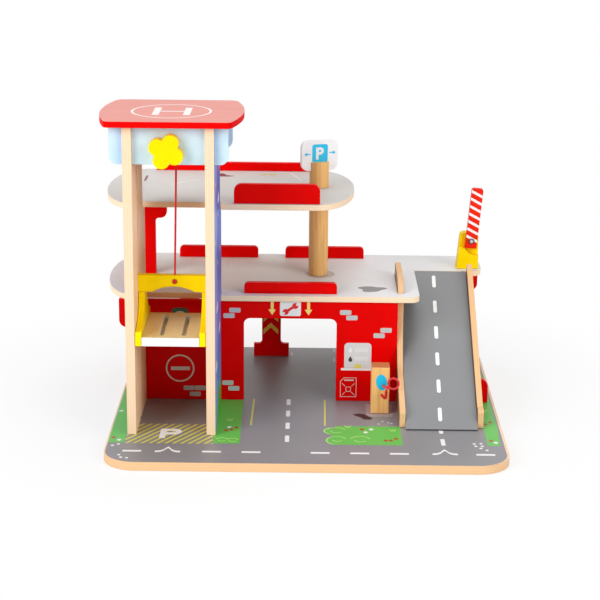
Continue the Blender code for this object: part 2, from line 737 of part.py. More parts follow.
def roof_corner(corner):
    """Middle of a round corner of the roof, and the angle at which it runs into the bulging side."""
    along = ROOF_DEPTH / 2 - corner
    tilt = math.asin(along / (ROOF_SIDE_RADIUS - corner))
    across = ROOF_WIDTH / 2 - ROOF_SIDE_RADIUS + (ROOF_SIDE_RADIUS - corner) * math.cos(tilt)
    return across, along, math.degrees(tilt)


def make_roof():
    """The helipad: straight at the front and back, with bulging sides that mirror each other."""
    front_x, front_y, front_tilt = roof_corner(ROOF_FRONT_RADIUS)
    back_x, back_y, back_tilt = roof_corner(ROOF_BACK_RADIUS)
    side = (ROOF_WIDTH / 2 - ROOF_SIDE_RADIUS, 0)
    outline = arc((front_x, -front_y), ROOF_FRONT_RADIUS, -90, -front_tilt)
    outline += arc(side, ROOF_SIDE_RADIUS, -front_tilt, back_tilt, 16)[1:-1]
    outline += arc((back_x, back_y), ROOF_BACK_RADIUS, back_tilt, 90)
    outline += [(-across, along) for across, along in reversed(outline)]
    board("helipad_roof", "up", outline, ROOF_THICKNESS, ROOF_UNDER, ROOF_FINISH,
          place=(TOWER_CENTRE_X, ROOF_CENTRE_Y))


# Winch

def knob_outline():
    """The edge of four round lobes that run into each other."""
    points = []
    for step in range(KNOB_POINTS):
        angle = 2 * math.pi * step / KNOB_POINTS
        share = 2 * math.pi / KNOB_LOBES
        off = (angle - KNOB_START_ANGLE + share / 2) % share - share / 2
        across = KNOB_LOBE_OFFSET * math.sin(off)
        reach = KNOB_LOBE_OFFSET * math.cos(off) + math.sqrt(KNOB_LOBE_RADIUS ** 2 - across ** 2)
        points.append((reach * math.cos(angle), reach * math.sin(angle)))
    return points


def make_winch():
    """The knob, its axle through both headers, the string wound on it and the stop at its end."""
    knob_back = HEADER_FRONT_Y - GAP
    knob_front = knob_back - KNOB_THICKNESS
    knob = as_mesh(board("winch_knob", "front", knob_outline(), KNOB_THICKNESS, knob_front, YELLOW_FINISH,
                         place=(WINCH_X, WINCH_Z), parent=WINCH))
    bore_front = knob_back - KNOB_BORE_DEPTH
    bore = cylinder_mesh("knob_bore", AXLE_RADIUS + GAP, 2 * KNOB_BORE_DEPTH, "Y")
    cut(knob, cutter("knob_bore", bore, (WINCH_X, bore_front + KNOB_BORE_DEPTH, WINCH_Z), WINCH))

    stop_front = HEADER_REAR_Y + PLY + GAP
    axle_front = bore_front + GAP
    axle_length = stop_front + END_STOP_THICKNESS - axle_front
    axle = cylinder_mesh("winch_axle", AXLE_RADIUS, axle_length, "Y")
    solid_piece("winch_axle", axle, (WINCH_X, axle_front + axle_length / 2, WINCH_Z), PINE_FINISH, WINCH)

    bore_outline = circle((0, 0), AXLE_RADIUS + GAP)
    board("winch_end_stop", "front", circle((0, 0), END_STOP_RADIUS), END_STOP_THICKNESS, stop_front,
          PINE_FINISH, [bore_outline], place=(WINCH_X, WINCH_Z), parent=WINCH)
    board("string_winding", "front", circle((0, 0), WINDING_RADIUS), WINDING_WIDTH, STRING_Y - WINDING_WIDTH / 2,
          CORD_FINISH, [bore_outline], place=(WINCH_X, WINCH_Z), parent=WINCH)


def make_string():
    """The string from the right of the winding down to the arch of the lift car."""
    upper_x = WINCH_X + AXLE_RADIUS + STRING_RADIUS
    drop = math.sqrt(WINDING_RADIUS ** 2 - AXLE_RADIUS ** 2)
    upper = (upper_x, STRING_Y, WINCH_Z - drop - GAP)
    lower = (STRING_LOWER_X, STRING_Y, ARCH_TOP + GAP)
    tube("lift_string", [upper, lower], STRING_DIAMETER, CORD_FINISH)


# Lift car

def car_side_outline():
    """A side of the car from the right: a long foot that curves up to a narrow head."""
    foot_top = CAR_SIDE_FOOT
    head_front = CAR_SIDE_TOP_SETBACK
    head_back = head_front + CAR_SIDE_TOP_WIDTH
    rise = CAR_SIDE_HEIGHT - foot_top
    tail = CAR_SIDE_DEPTH - head_back
    outline = [(0, 0), (CAR_SIDE_DEPTH, 0)]
    outline += ellipse_arc((CAR_SIDE_DEPTH, CAR_SIDE_HEIGHT), tail, rise, 270, 180, 8)
    outline += ellipse_arc((0, CAR_SIDE_HEIGHT), head_front, rise, 0, -90, 8)
    return outline


def make_lift_car():
    left = TOWER_INNER_LEFT + CAR_SIDE_CLEARANCE
    right = TOWER_INNER_RIGHT - CAR_SIDE_CLEARANCE
    front = TOWER_FRONT_Y
    for name, start in (("lift_side_left", left), ("lift_side_right", right - PLY)):
        board(name, "side", car_side_outline(), PLY, start, YELLOW_FINISH,
              place=(front, CAR_FLOOR_UNDER), parent=LIFT)

    floor_left = left + PLY + GAP
    floor_right = right - PLY - GAP
    outline = rectangle(floor_left, front, floor_right, front + CAR_FLOOR_DEPTH)
    floor = as_mesh(board("lift_floor", "up", outline, CAR_FLOOR_THICKNESS, CAR_FLOOR_UNDER,
                          WHITE_FINISH, parent=LIFT))
    top = CAR_FLOOR_UNDER + CAR_FLOOR_THICKNESS
    for name, side in (("floor_slot_left", -1), ("floor_slot_right", 1)):
        centre = TOWER_CENTRE_X + FLOOR_SLOT_SHIFT + side * FLOOR_SLOT_SPACING / 2
        low = (centre - FLOOR_SLOT_WIDTH / 2, front + FLOOR_SLOT_SETBACK, top - FLOOR_SLOT_DEPTH)
        high = (centre + FLOOR_SLOT_WIDTH / 2, low[1] + FLOOR_SLOT_LENGTH, top + FLOOR_SLOT_DEPTH)
        cut(floor, box_cutter(name, low, high, LIFT))


def make_lift_arch():
    """The board over the car, with a tongue in each guide groove and a pocket for the knot."""
    half = SHAFT_WIDTH / 2 - CAR_SIDE_CLEARANCE
    bottom = CAR_SIDE_TOP + GAP
    top = ARCH_TOP
    radius = ((ARCH_SPAN / 2) ** 2 + ARCH_RISE ** 2) / (2 * ARCH_RISE)
    swing = math.degrees(math.asin(ARCH_SPAN / 2 / radius))
    outline = [(half + TONGUE_LENGTH, bottom), (half + TONGUE_LENGTH, top)]
    outline += [(-half - TONGUE_LENGTH, top), (-half - TONGUE_LENGTH, bottom)]
    outline += arc((0, bottom + ARCH_RISE - radius), radius, 90 + swing, 90 - swing, 14)
    arch = as_mesh(board("lift_arch", "front", outline, ARCH_THICKNESS, ARCH_FRONT_Y, YELLOW_FINISH,
                         place=(TOWER_CENTRE_X, 0), parent=LIFT))
    knot_z = ARCH_TOP - KNOT_DROP
    pocket = cylinder_mesh("knot_pocket", KNOT_RADIUS + GAP, 2 * (KNOT_RADIUS + GAP), "Y")
    cut(arch, cutter("knot_pocket", pocket, (STRING_LOWER_X, ARCH_FRONT_Y, knot_z), LIFT))

    knot = bpy.data.meshes.new("lift_knot")
    shape = bmesh.new()
    bmesh.ops.create_uvsphere(shape, u_segments=16, v_segments=10, radius=KNOT_RADIUS)
    shape.to_mesh(knot)
    shape.free()
    knot.shade_smooth()
    solid_piece("lift_knot", knot, (STRING_LOWER_X, ARCH_FRONT_Y, knot_z), CORD_FINISH, LIFT)


# Pole and sign

def make_pole():
    """A thick dowel under the upper deck and a short one on it, slotted for the sign."""
    foot = LOWER_DECK_TOP + GAP
    length = UPPER_DECK_UNDER - GAP - foot
    lower = cylinder_mesh("pole_lower", POLE_DIAMETER / 2, length)
    solid_piece("pole_lower", lower, (POLE_X, POLE_Y, foot + length / 2), PINE_FINISH)

    foot = UPPER_DECK_TOP + GAP
    upper = cylinder_mesh("pole_upper", POLE_DIAMETER / 2, POLE_TOP_LENGTH)
    pole = solid_piece("pole_upper", upper, (POLE_X, POLE_Y, foot + POLE_TOP_LENGTH / 2), PINE_FINISH)
    slot_size = (2 * POLE_DIAMETER, SIGN_THICKNESS + 2 * GAP, 2 * SIGN_SLOT_DEPTH)
    slot = cutter("sign_slot", box_mesh("sign_slot", slot_size), (POLE_X, POLE_Y, foot + POLE_TOP_LENGTH))
    slot.rotation_euler.z = SIGN_TURN
    cut(pole, slot)

    half = SIGN_WIDTH / 2
    outline = rounded_rectangle(-half, 0, half, SIGN_HEIGHT, SIGN_RADIUS)
    sign_foot = foot + POLE_TOP_LENGTH - SIGN_SLOT_DEPTH + GAP
    sign = board("sign_board", "front", outline, SIGN_THICKNESS, POLE_Y - SIGN_THICKNESS / 2, WHITE_FINISH,
                 place=(POLE_X + SIGN_SHIFT_X * math.cos(SIGN_TURN), sign_foot))
    sign.location.y += SIGN_SHIFT_X * math.sin(SIGN_TURN)
    sign.rotation_euler.z = SIGN_TURN


# Guard rails

def make_rails():
    """Guard rails on both decks: name, middle, length, height, corner radius, front face, foot."""
    lower = LOWER_DECK_TOP + GAP
    upper = UPPER_DECK_TOP + GAP
    front = DECK_FRONT_Y + FRONT_RAIL_SETBACK
    upper_front = DECK_FRONT_Y + UPPER_FRONT_RAIL_SETBACK
    back = DECK_BACK_Y - BACK_RAIL_SETBACK - PLY
    long_back = DECK_BACK_Y - LONG_RAIL_SETBACK - PLY
    low_back = (LOWER_BACK_RAIL_HEIGHT, LOWER_RAIL_RADIUS)
    rails = (
        ("rail_lower_front", DOOR_CENTRE_X, LOWER_FRONT_RAIL_LENGTH, LOWER_FRONT_RAIL_HEIGHT, LOWER_RAIL_RADIUS,
         front, lower),
        ("rail_lower_back_left", BACK_LEFT_RAIL_X, SHORT_RAIL_LENGTH, *low_back, back, lower),
        ("rail_lower_back_right", BACK_RIGHT_RAIL_X, SHORT_RAIL_LENGTH, *low_back, back, lower),
        ("rail_upper_front", UPPER_FRONT_RAIL_X, SHORT_RAIL_LENGTH, UPPER_RAIL_HEIGHT, UPPER_RAIL_RADIUS,
         upper_front, upper),
        ("rail_upper_back", LONG_RAIL_X, LONG_RAIL_LENGTH, LONG_RAIL_HEIGHT, LONG_RAIL_RADIUS,
         long_back, upper),
    )
    for name, middle, length, height, radius, face, foot in rails:
        board(name, "front", rail_outline(length, height, radius), PLY, face, RED_FINISH,
              place=(middle, foot))


# Ramp

def ramp_height(y):
    """Height of the road surface of the ramp."""
    return RAMP_FOOT_Z + RAMP_SLOPE * (y - RAMP_FOOT_Y)


def make_ramp_deck():
    """The sloping road board, notched where it dips under the edge of the lower deck."""
    foot = BASE_TOP + GAP
    back = RAMP_TOP_Y - GAP
    drop = RAMP_THICKNESS * math.sqrt(1 + RAMP_SLOPE ** 2)
    toe = RAMP_FOOT_Y + (drop - RAMP_FOOT_EDGE) / RAMP_SLOPE
    outline = [(RAMP_FOOT_Y, foot), (toe, foot), (back, ramp_height(back) - drop), (back, ramp_height(back))]
    outline += [(RAMP_FOOT_Y, RAMP_FOOT_Z)]
    ramp = as_mesh(board("ramp_deck", "side", outline, RAMP_WIDTH, RAMP_LEFT, ROAD_FINISH))
    notch_front = RAMP_FOOT_Y + (LOWER_DECK_UNDER - GAP - RAMP_FOOT_Z) / RAMP_SLOPE - RAMP_THICKNESS
    low = (RAMP_LEFT - PLY, notch_front, BASE_TOP)
    high = (RAMP_BAY_LEFT + GAP, RAMP_TOP_Y + PLY, LOWER_DECK_TOP + PLY)
    cut(ramp, box_cutter("ramp_notch", low, high))


def ramp_nose():
    """The upright front end of a ramp side, with a round top corner and a short flat top."""
    nose_top = BASE_TOP + RAMP_NOSE_HEIGHT
    radius = RAMP_NOSE_RADIUS
    points = arc((RAMP_SIDE_FRONT_Y + radius, nose_top - radius), radius, 180, 90, 5)
    points.append((RAMP_SIDE_FRONT_Y + RAMP_NOSE_LENGTH, nose_top))
    return points


def ramp_side_foot():
    """The bottom edge of a ramp side, from back to front, let over the low end of the wall."""
    foot = BASE_TOP + GAP
    notch_top = BASE_TOP + WALL_FOOT_HEIGHT + GAP
    back = WALL_BACK_Y + GAP
    front = WALL_FRONT_Y - GAP
    return [(back, foot), (back, notch_top), (front, notch_top), (front, foot), (RAMP_SIDE_FRONT_Y, foot)]


def make_ramp_side_right():
    back = RAMP_TOP_Y - RAMP_SIDE_END_GAP
    outline = ramp_nose()
    outline += [(back, ramp_height(back) + RAMP_SIDE_RISE), (back, BASE_TOP + GAP)]
    outline += ramp_side_foot()
    board("ramp_side_right", "side", outline, PLY, RIGHT_SIDE_INNER, PLY_FINISH)


def make_ramp_side_left():
    """The inner ramp side, which steps up to the lower deck and comes through it as a guard."""
    under = LOWER_DECK_UNDER - GAP
    back = RAMP_TOP_Y - RAMP_SIDE_END_GAP
    guard_top = LOWER_DECK_TOP + GUARD_HEIGHT
    slope = math.degrees(SWOOP_SLOPE)
    start_y = STEP_Y - STEP_RADIUS * (1 - math.sin(SWOOP_SLOPE))
    start_z = BASE_TOP + SWOOP_START_HEIGHT + (start_y - RAMP_SIDE_FRONT_Y) * math.tan(SWOOP_SLOPE)
    centre = (STEP_Y - STEP_RADIUS, start_z + STEP_RADIUS * math.cos(SWOOP_SLOPE))
    radius = RAMP_NOSE_RADIUS
    nose_z = BASE_TOP + SWOOP_START_HEIGHT - radius
    outline = arc((RAMP_SIDE_FRONT_Y + radius, nose_z), radius, 180, 90 + slope, 5)
    outline += arc(centre, STEP_RADIUS, slope - 90, 0, 12)
    outline += [(STEP_Y, under), (GUARD_START_Y, under), (GUARD_START_Y, LOWER_DECK_TOP + GAP)]
    outline += ellipse_arc((GUARD_START_Y + GUARD_CURVE_LENGTH, LOWER_DECK_TOP + GAP), GUARD_CURVE_LENGTH,
                           GUARD_HEIGHT - GAP, 165, 90, 8)
    radius = GUARD_END_RADIUS
    outline += arc((GUARD_END_Y - radius, guard_top - radius), radius, 90, 0, 5)
    outline += [(GUARD_END_Y, under), (back, under), (back, BASE_TOP + GAP)]
    outline += ramp_side_foot()
    board("ramp_side_left", "side", outline, PLY, LEFT_SIDE_INNER - PLY, PLY_FINISH)


# Barrier

def make_barrier_post():
    """A yellow block, tapered on its left, with a ledge and a round recess cut in its face for the arm."""
    foot = LOWER_DECK_TOP + GAP
    top = LOWER_DECK_TOP + BARRIER_POST_HEIGHT
    right = BARRIER_POST_X
    left_foot = right - BARRIER_POST_WIDTH
    left_top = right - BARRIER_POST_TOP_WIDTH
    radius = BARRIER_POST_RADIUS
    outline = [(left_foot, foot), (right, foot)]
    outline += arc((right - radius, top - radius), radius, 0, 90, 5)
    outline += arc((left_top + radius, top - radius), radius, 90, 180, 5)
    post = as_mesh(board("barrier_post", "front", outline, BARRIER_POST_DEPTH, BARRIER_FRONT_Y,
                         YELLOW_FINISH))

    half_depth = ARM_THICKNESS + 2 * GAP
    beyond_left = left_foot - PLY
    beyond_right = right + PLY
    centre = (PIVOT_X + BARRIER_RECESS_SHIFT, PIVOT_Z)
    recess = arc(centre, BARRIER_RECESS_RADIUS, BARRIER_RECESS_START, 270, 8)
    ledge_z = recess[0][1] + math.tan(BARRIER_LEDGE_SLOPE) * (recess[0][0] - beyond_left)
    step_outline = [(beyond_left, ledge_z), *recess, (beyond_right, recess[-1][1])]
    step_outline += [(beyond_right, top + PLY), (beyond_left, top + PLY)]
    step_start = BARRIER_FRONT_Y - half_depth
    step = as_mesh(board("barrier_step", "front", step_outline, 2 * half_depth, step_start, None))
    PARTS.objects.unlink(step)
    CUTTERS.objects.link(step)
    step.hide_render = True
    step.display_type = "WIRE"
    cut(post, step)

    bore_length = 2 * SCREW_LENGTH
    bore = cylinder_mesh("screw_bore", SCREW_SHANK_RADIUS + GAP, bore_length, "Y", 16)
    cut(post, cutter("screw_bore", bore, (PIVOT_X, BARRIER_FRONT_Y, PIVOT_Z)))


def make_barrier_arm():
    """The striped arm, raised and leaning a little to the right, with its hole on the pivot."""
    half = ARM_WIDTH / 2
    tip = ARM_LENGTH - ARM_TAIL
    outline = [(-half, -ARM_TAIL), (half, -ARM_TAIL)]
    outline += arc((half - ARM_RADIUS, tip - ARM_RADIUS), ARM_RADIUS, 0, 90, 5)
    outline += arc((-half + ARM_RADIUS, tip - ARM_RADIUS), ARM_RADIUS, 90, 180, 5)
    hole = circle((0, 0), SCREW_SHANK_RADIUS + SCREW_CLEARANCE, 16)
    arm = board("barrier_arm", "front", outline, ARM_THICKNESS, BARRIER_FRONT_Y + GAP, STRIPE_FINISH, [hole],
                place=(PIVOT_X, PIVOT_Z), parent=BARRIER)
    arm.rotation_euler.y = ARM_LEAN


def make_barrier_screw():
    """A pan-head screw: its profile runs from the middle of the head out, down and back in."""
    head = SCREW_HEAD_THICKNESS
    profile = [(0, head), (SCREW_HEAD_RADIUS * SCREW_CROWN, head), (SCREW_HEAD_RADIUS, head / 2)]
    profile += [(SCREW_HEAD_RADIUS, 0), (SCREW_SHANK_RADIUS, 0), (SCREW_SHANK_RADIUS, head - SCREW_LENGTH)]
    profile += [(0, head - SCREW_LENGTH)]
    mesh = bpy.data.meshes.new("barrier_screw")
    shape = bmesh.new()
    rim = [shape.verts.new((radius, 0, height)) for radius, height in profile]
    for pair in zip(rim, rim[1:]):
        shape.edges.new(pair)
    shape.to_mesh(mesh)
    shape.free()
    face = BARRIER_FRONT_Y - GAP / 2
    screw = solid_piece("barrier_screw", mesh, (PIVOT_X, face, PIVOT_Z), STEEL_FINISH)
    screw.rotation_euler.x = math.pi / 2
    turn = screw.modifiers.new("turned", "SCREW")
    turn.steps = SCREW_SIDES
    turn.render_steps = SCREW_SIDES
    turn.use_merge_vertices = True
    turn.merge_threshold = MERGE_DISTANCE
    turn.use_smooth_shade = True


# Fuel pump

def make_fuel_pump():
    """A pine block with a drilled hole for the hose."""
    low = (PUMP_X - PUMP_WIDTH / 2, PUMP_FRONT_Y, BASE_TOP + GAP)
    high = (PUMP_X + PUMP_WIDTH / 2, PUMP_FRONT_Y + PUMP_DEPTH, BASE_TOP + PUMP_HEIGHT)
    pump = block("fuel_pump", low, high, PINE_FINISH)
    edge = pump.modifiers.new("worn_edges", "BEVEL")
    edge.width = PUMP_EDGE
    edge.segments = 2
    bore = cylinder_mesh("hose_bore", HOSE_DIAMETER / 2 + GAP, 2 * HOSE_BORE_DEPTH, "Y", 16)
    bore_z = BASE_TOP + HOSE_BORE_HEIGHT
    cut(pump, cutter("hose_bore", bore, (PUMP_X + HOSE_BORE_X, PUMP_FRONT_Y, bore_z)))


def smooth_route(points, spacing):
    """Points at even steps along a smooth curve through the given ones."""
    route = [Vector(point) for point in points]
    ends = [2 * route[0] - route[1], *route, 2 * route[-1] - route[-2]]
    dense = []
    for index in range(1, len(ends) - 2):
        a, b, c, d = ends[index - 1:index + 3]
        for step in range(12):
            t = step / 12
            dense.append(0.5 * (2 * b + (c - a) * t + (2 * a - 5 * b + 4 * c - d) * t ** 2
                                + (3 * b - a - 3 * c + d) * t ** 3))
    dense.append(route[-1])
    total = sum((second - first).length for first, second in zip(dense, dense[1:]))
    count = max(2, round(total / spacing))
    result = [dense[0]]
    walked = 0.0
    for first, second in zip(dense, dense[1:]):
        length = (second - first).length
        while walked + length >= total * len(result) / count and len(result) < count:
            share = (total * len(result) / count - walked) / length
            result.append(first.lerp(second, share))
        walked += length
    result.append(dense[-1])
    return result


def least_gap(route, diameter):
    """The least clear distance between stretches of a tube that are half a turn or more apart."""
    apart = round(math.pi * HOSE_LOOP_RADIUS / HOSE_STEP)
    gaps = []
    for index, point in enumerate(route):
        gaps += [(other - point).length - diameter for other in route[index + apart:]]
    return min(gaps)


def hose_loop():
    """The one loop of the hose to the right of the pump, which comes forward as it turns."""
    points = []
    for step in range(HOSE_LOOP_POINTS + 1):
        turn = step / HOSE_LOOP_POINTS
        angle = HOSE_LOOP_START - 2 * math.pi * turn
        points.append((HOSE_LOOP_X + HOSE_LOOP_RADIUS * math.cos(angle),
                       PUMP_FRONT_Y - HOSE_LOOP_STANDOFF - HOSE_LOOP_ADVANCE * turn,
                       BASE_TOP + HOSE_LOOP_HEIGHT + HOSE_LOOP_RADIUS * math.sin(angle)))
    return points


def make_hose():
    """The hose out of the pump, round its loop and down to the nozzle."""
    bore_x = PUMP_X + HOSE_BORE_X
    bore_z = BASE_TOP + HOSE_BORE_HEIGHT
    start = [(bore_x, PUMP_FRONT_Y + HOSE_BORE_DEPTH - GAP, bore_z), (bore_x, PUMP_FRONT_Y + GAP, bore_z)]
    start += [(bore_x, PUMP_FRONT_Y - 0.0016, bore_z), (0.0806, -0.0450, 0.0404)]
    end = [(0.0826, -0.0500, 0.0401), (0.0822, -0.0496, 0.0378)]
    route = smooth_route(start + hose_loop() + end, HOSE_STEP)
    tube("pump_hose", route, HOSE_DIAMETER, CORD_FINISH)
    print(f"The hose keeps {least_gap(route, HOSE_DIAMETER) * 1000:.2f} mm clear of itself")

    nozzle = [(0.0822, -0.0496, 0.0375), (0.0820, -0.0493, 0.0336), (0.0818, -0.0489, 0.0301)]
    nozzle += [(0.0809, -0.0487, 0.0293), (0.0797, -0.0485, 0.0302), (0.0770, -0.0480, 0.0336)]
    tube("pump_nozzle", nozzle, NOZZLE_DIAMETER, CORD_FINISH, 3)


def main():
    make_base_board()
    make_front_wall()
    make_back_trestle()
    make_lower_deck()
    make_upper_deck()
    make_upper_column()
    make_tower_side("tower_side_left", TOWER_OUTER_LEFT, TOWER_INNER_LEFT - GUIDE_GROOVE_DEPTH)
    make_tower_side("tower_side_right", TOWER_INNER_RIGHT, TOWER_INNER_RIGHT - GUIDE_GROOVE_DEPTH)
    make_header("header_front", HEADER_FRONT_Y)
    make_header("header_back", HEADER_REAR_Y)
    make_roof()
    make_winch()
    make_string()
    make_lift_car()
    make_lift_arch()
    make_pole()
    make_rails()
    make_ramp_deck()
    make_ramp_side_left()
    make_ramp_side_right()
    make_barrier_post()
    make_barrier_arm()
    make_barrier_screw()
    make_fuel_pump()
    make_hose()


main()
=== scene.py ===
import json
import math

import bmesh
import bpy
from mathutils import Euler, Matrix, Vector


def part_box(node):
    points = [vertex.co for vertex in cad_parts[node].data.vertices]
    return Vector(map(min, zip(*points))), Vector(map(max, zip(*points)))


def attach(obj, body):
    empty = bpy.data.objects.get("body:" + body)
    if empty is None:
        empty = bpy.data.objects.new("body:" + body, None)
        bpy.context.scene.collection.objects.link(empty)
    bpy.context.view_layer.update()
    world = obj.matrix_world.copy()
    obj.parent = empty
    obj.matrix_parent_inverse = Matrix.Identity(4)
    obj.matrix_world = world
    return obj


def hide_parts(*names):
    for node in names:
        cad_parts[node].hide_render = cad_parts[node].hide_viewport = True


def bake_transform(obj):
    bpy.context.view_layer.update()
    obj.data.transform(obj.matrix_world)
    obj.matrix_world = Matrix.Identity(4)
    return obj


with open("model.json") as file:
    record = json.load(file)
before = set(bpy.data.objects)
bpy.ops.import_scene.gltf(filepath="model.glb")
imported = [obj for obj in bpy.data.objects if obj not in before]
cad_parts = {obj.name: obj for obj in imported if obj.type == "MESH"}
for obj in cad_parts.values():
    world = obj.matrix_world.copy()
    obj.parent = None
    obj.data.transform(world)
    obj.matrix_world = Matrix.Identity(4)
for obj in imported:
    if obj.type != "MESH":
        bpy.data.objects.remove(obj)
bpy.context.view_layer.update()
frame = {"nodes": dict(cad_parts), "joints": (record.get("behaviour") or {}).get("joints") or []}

# Plan places are measured from the middle of the base board, in metres
BASE_LOW, BASE_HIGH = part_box("base_board")
CENTRE_X = (BASE_LOW.x + BASE_HIGH.x) / 2

# Camera
LENS = 100.14
SENSOR = 36.0
CAMERA_PLACE = (0.0005, -1.6908, 0.6111)
PITCH_DOWN = math.radians(16.169)
YAW = math.radians(-0.313)
ROLL = math.radians(0.556)

# Prints lie this far off their board and are this thick
PRINT_LIFT = 0.00004
PRINT_THICKNESS = 0.00002

# The grey print on the base board stops short of its edges
PRINT_LEFT = -0.1985
PRINT_RIGHT = 0.1975
PRINT_FRONT = -0.1838
PRINT_RADIUS = 0.031

# Colours
RED = (0.78, 0.0005, 0.0004)
# The roof's upper face: its red paint with a painted sheen, which makes it lighter and pinker
ROOF_TOP_SHEEN = (0.76, 0.34, 0.30)
YELLOW = (0.99, 0.74, 0.001)
KNOB_YELLOW = (0.98, 0.68, 0.001)
POST_YELLOW = (0.99, 0.68, 0.001)
PALE_BLUE = (0.55, 0.73, 0.83)
WHITE = (0.90, 0.89, 0.89)
# The lift floor's upper face: its white paint with painted shade and a painted yellow reflection of the car's
# sides
LIFT_FLOOR_SHADED_TOP = (0.68, 0.50, 0.18)
# The faces of the ramp sides: bare wood darkened to brown as painted shade
RAMP_SIDE_SHADE = (0.27, 0.14, 0.065)
# The front end of the ramp deck, dark as a painted shadow at its foot
RAMP_FOOT_SHADOW = (0.045, 0.047, 0.052)
ROAD_GREY = (0.235, 0.232, 0.242)
RAMP_GREY = (0.17, 0.175, 0.18)
# The lower deck's grey is lighter than the upper deck's: painted light that offsets the shade the lower deck
# lies in
LOWER_DECK_LIGHTENED_GREY = (0.78, 0.78, 0.79)
UPPER_DECK_GREY = (0.62, 0.60, 0.57)
PLY_PALE = (0.90, 0.65, 0.45)
PLY_DARK = (0.80, 0.53, 0.29)
PLY_CREAM = (0.98, 0.75, 0.52)
PLY_BASE = (0.80, 0.50, 0.26)
PINE_PALE = (0.88, 0.50, 0.17)
PINE_DARK = (0.66, 0.33, 0.09)
CORD_RED = (0.74, 0.008, 0.016)
ARM_RED = (0.82, 0.022, 0.006)
INK_WHITE = (0.86, 0.86, 0.85)
INK_BRICK = (0.53, 0.53, 0.53)
INK_GREEN = (0.115, 0.50, 0.075)
INK_LEAF = (0.50, 0.80, 0.22)
INK_YELLOW = (0.66, 0.64, 0.10)
INK_ARROW = (0.95, 0.72, 0.18)
INK_BLUE = (0.002, 0.52, 0.84)
INK_DARK = (0.035, 0.025, 0.028)
INK_FLOWER = (0.42, 0.03, 0.01)
INK_CHEVRON = (0.80, 0.55, 0.05)
INK_PANEL = (0.70, 0.69, 0.69)
INK_DARK_GREEN = (0.01, 0.11, 0.06)
INK_GO_DISC = (0.60, 0.66, 0.60)
INK_NO_ENTRY = (0.72, 0.66, 0.64)
INK_ISLAND = (0.40, 0.36, 0.37)
INK_HALL = (0.46, 0.44, 0.45)
INK_SHELL = (0.80, 0.68, 0.10)
INK_CAN = (0.80, 0.55, 0.52)
INK_STAR = (0.90, 0.75, 0.05)
INK_CLOUD = (0.80, 0.82, 0.90)
INK_LOWER_BAYS = (0.74, 0.73, 0.71)
INK_UPPER_BAYS = (0.80, 0.79, 0.78)
INK_PUDDLE = (0.20, 0.19, 0.19)
POLE_FOOT_DARK = (0.50, 0.48, 0.48)
INK_WINE = (0.16, 0.02, 0.03)
INK_OCHRE = (0.62, 0.50, 0.08)
INK_ROOF = (0.92, 0.84, 0.82)
SCREW_MIDDLE = (0.46, 0.42, 0.40)
SCREW_CROSS = (0.80, 0.76, 0.72)
# Dark steel: on the screw head, its rim around the lighter middle is a painted shade of the countersink
STEEL_DARK = (0.09, 0.08, 0.08)
STEEL_PALE = (0.20, 0.19, 0.19)
GLUE_BROWN = (0.60, 0.36, 0.17)
FLOOR_SIDES = (0.80, 0.80, 0.81)
PINE_END = (0.42, 0.13, 0.04)
NOZZLE_RED = (0.62, 0.02, 0.02)

AXES = {"x": 0, "y": 1, "z": 2}
NOISE_ROUGHNESS = 0.55


# Node graphs

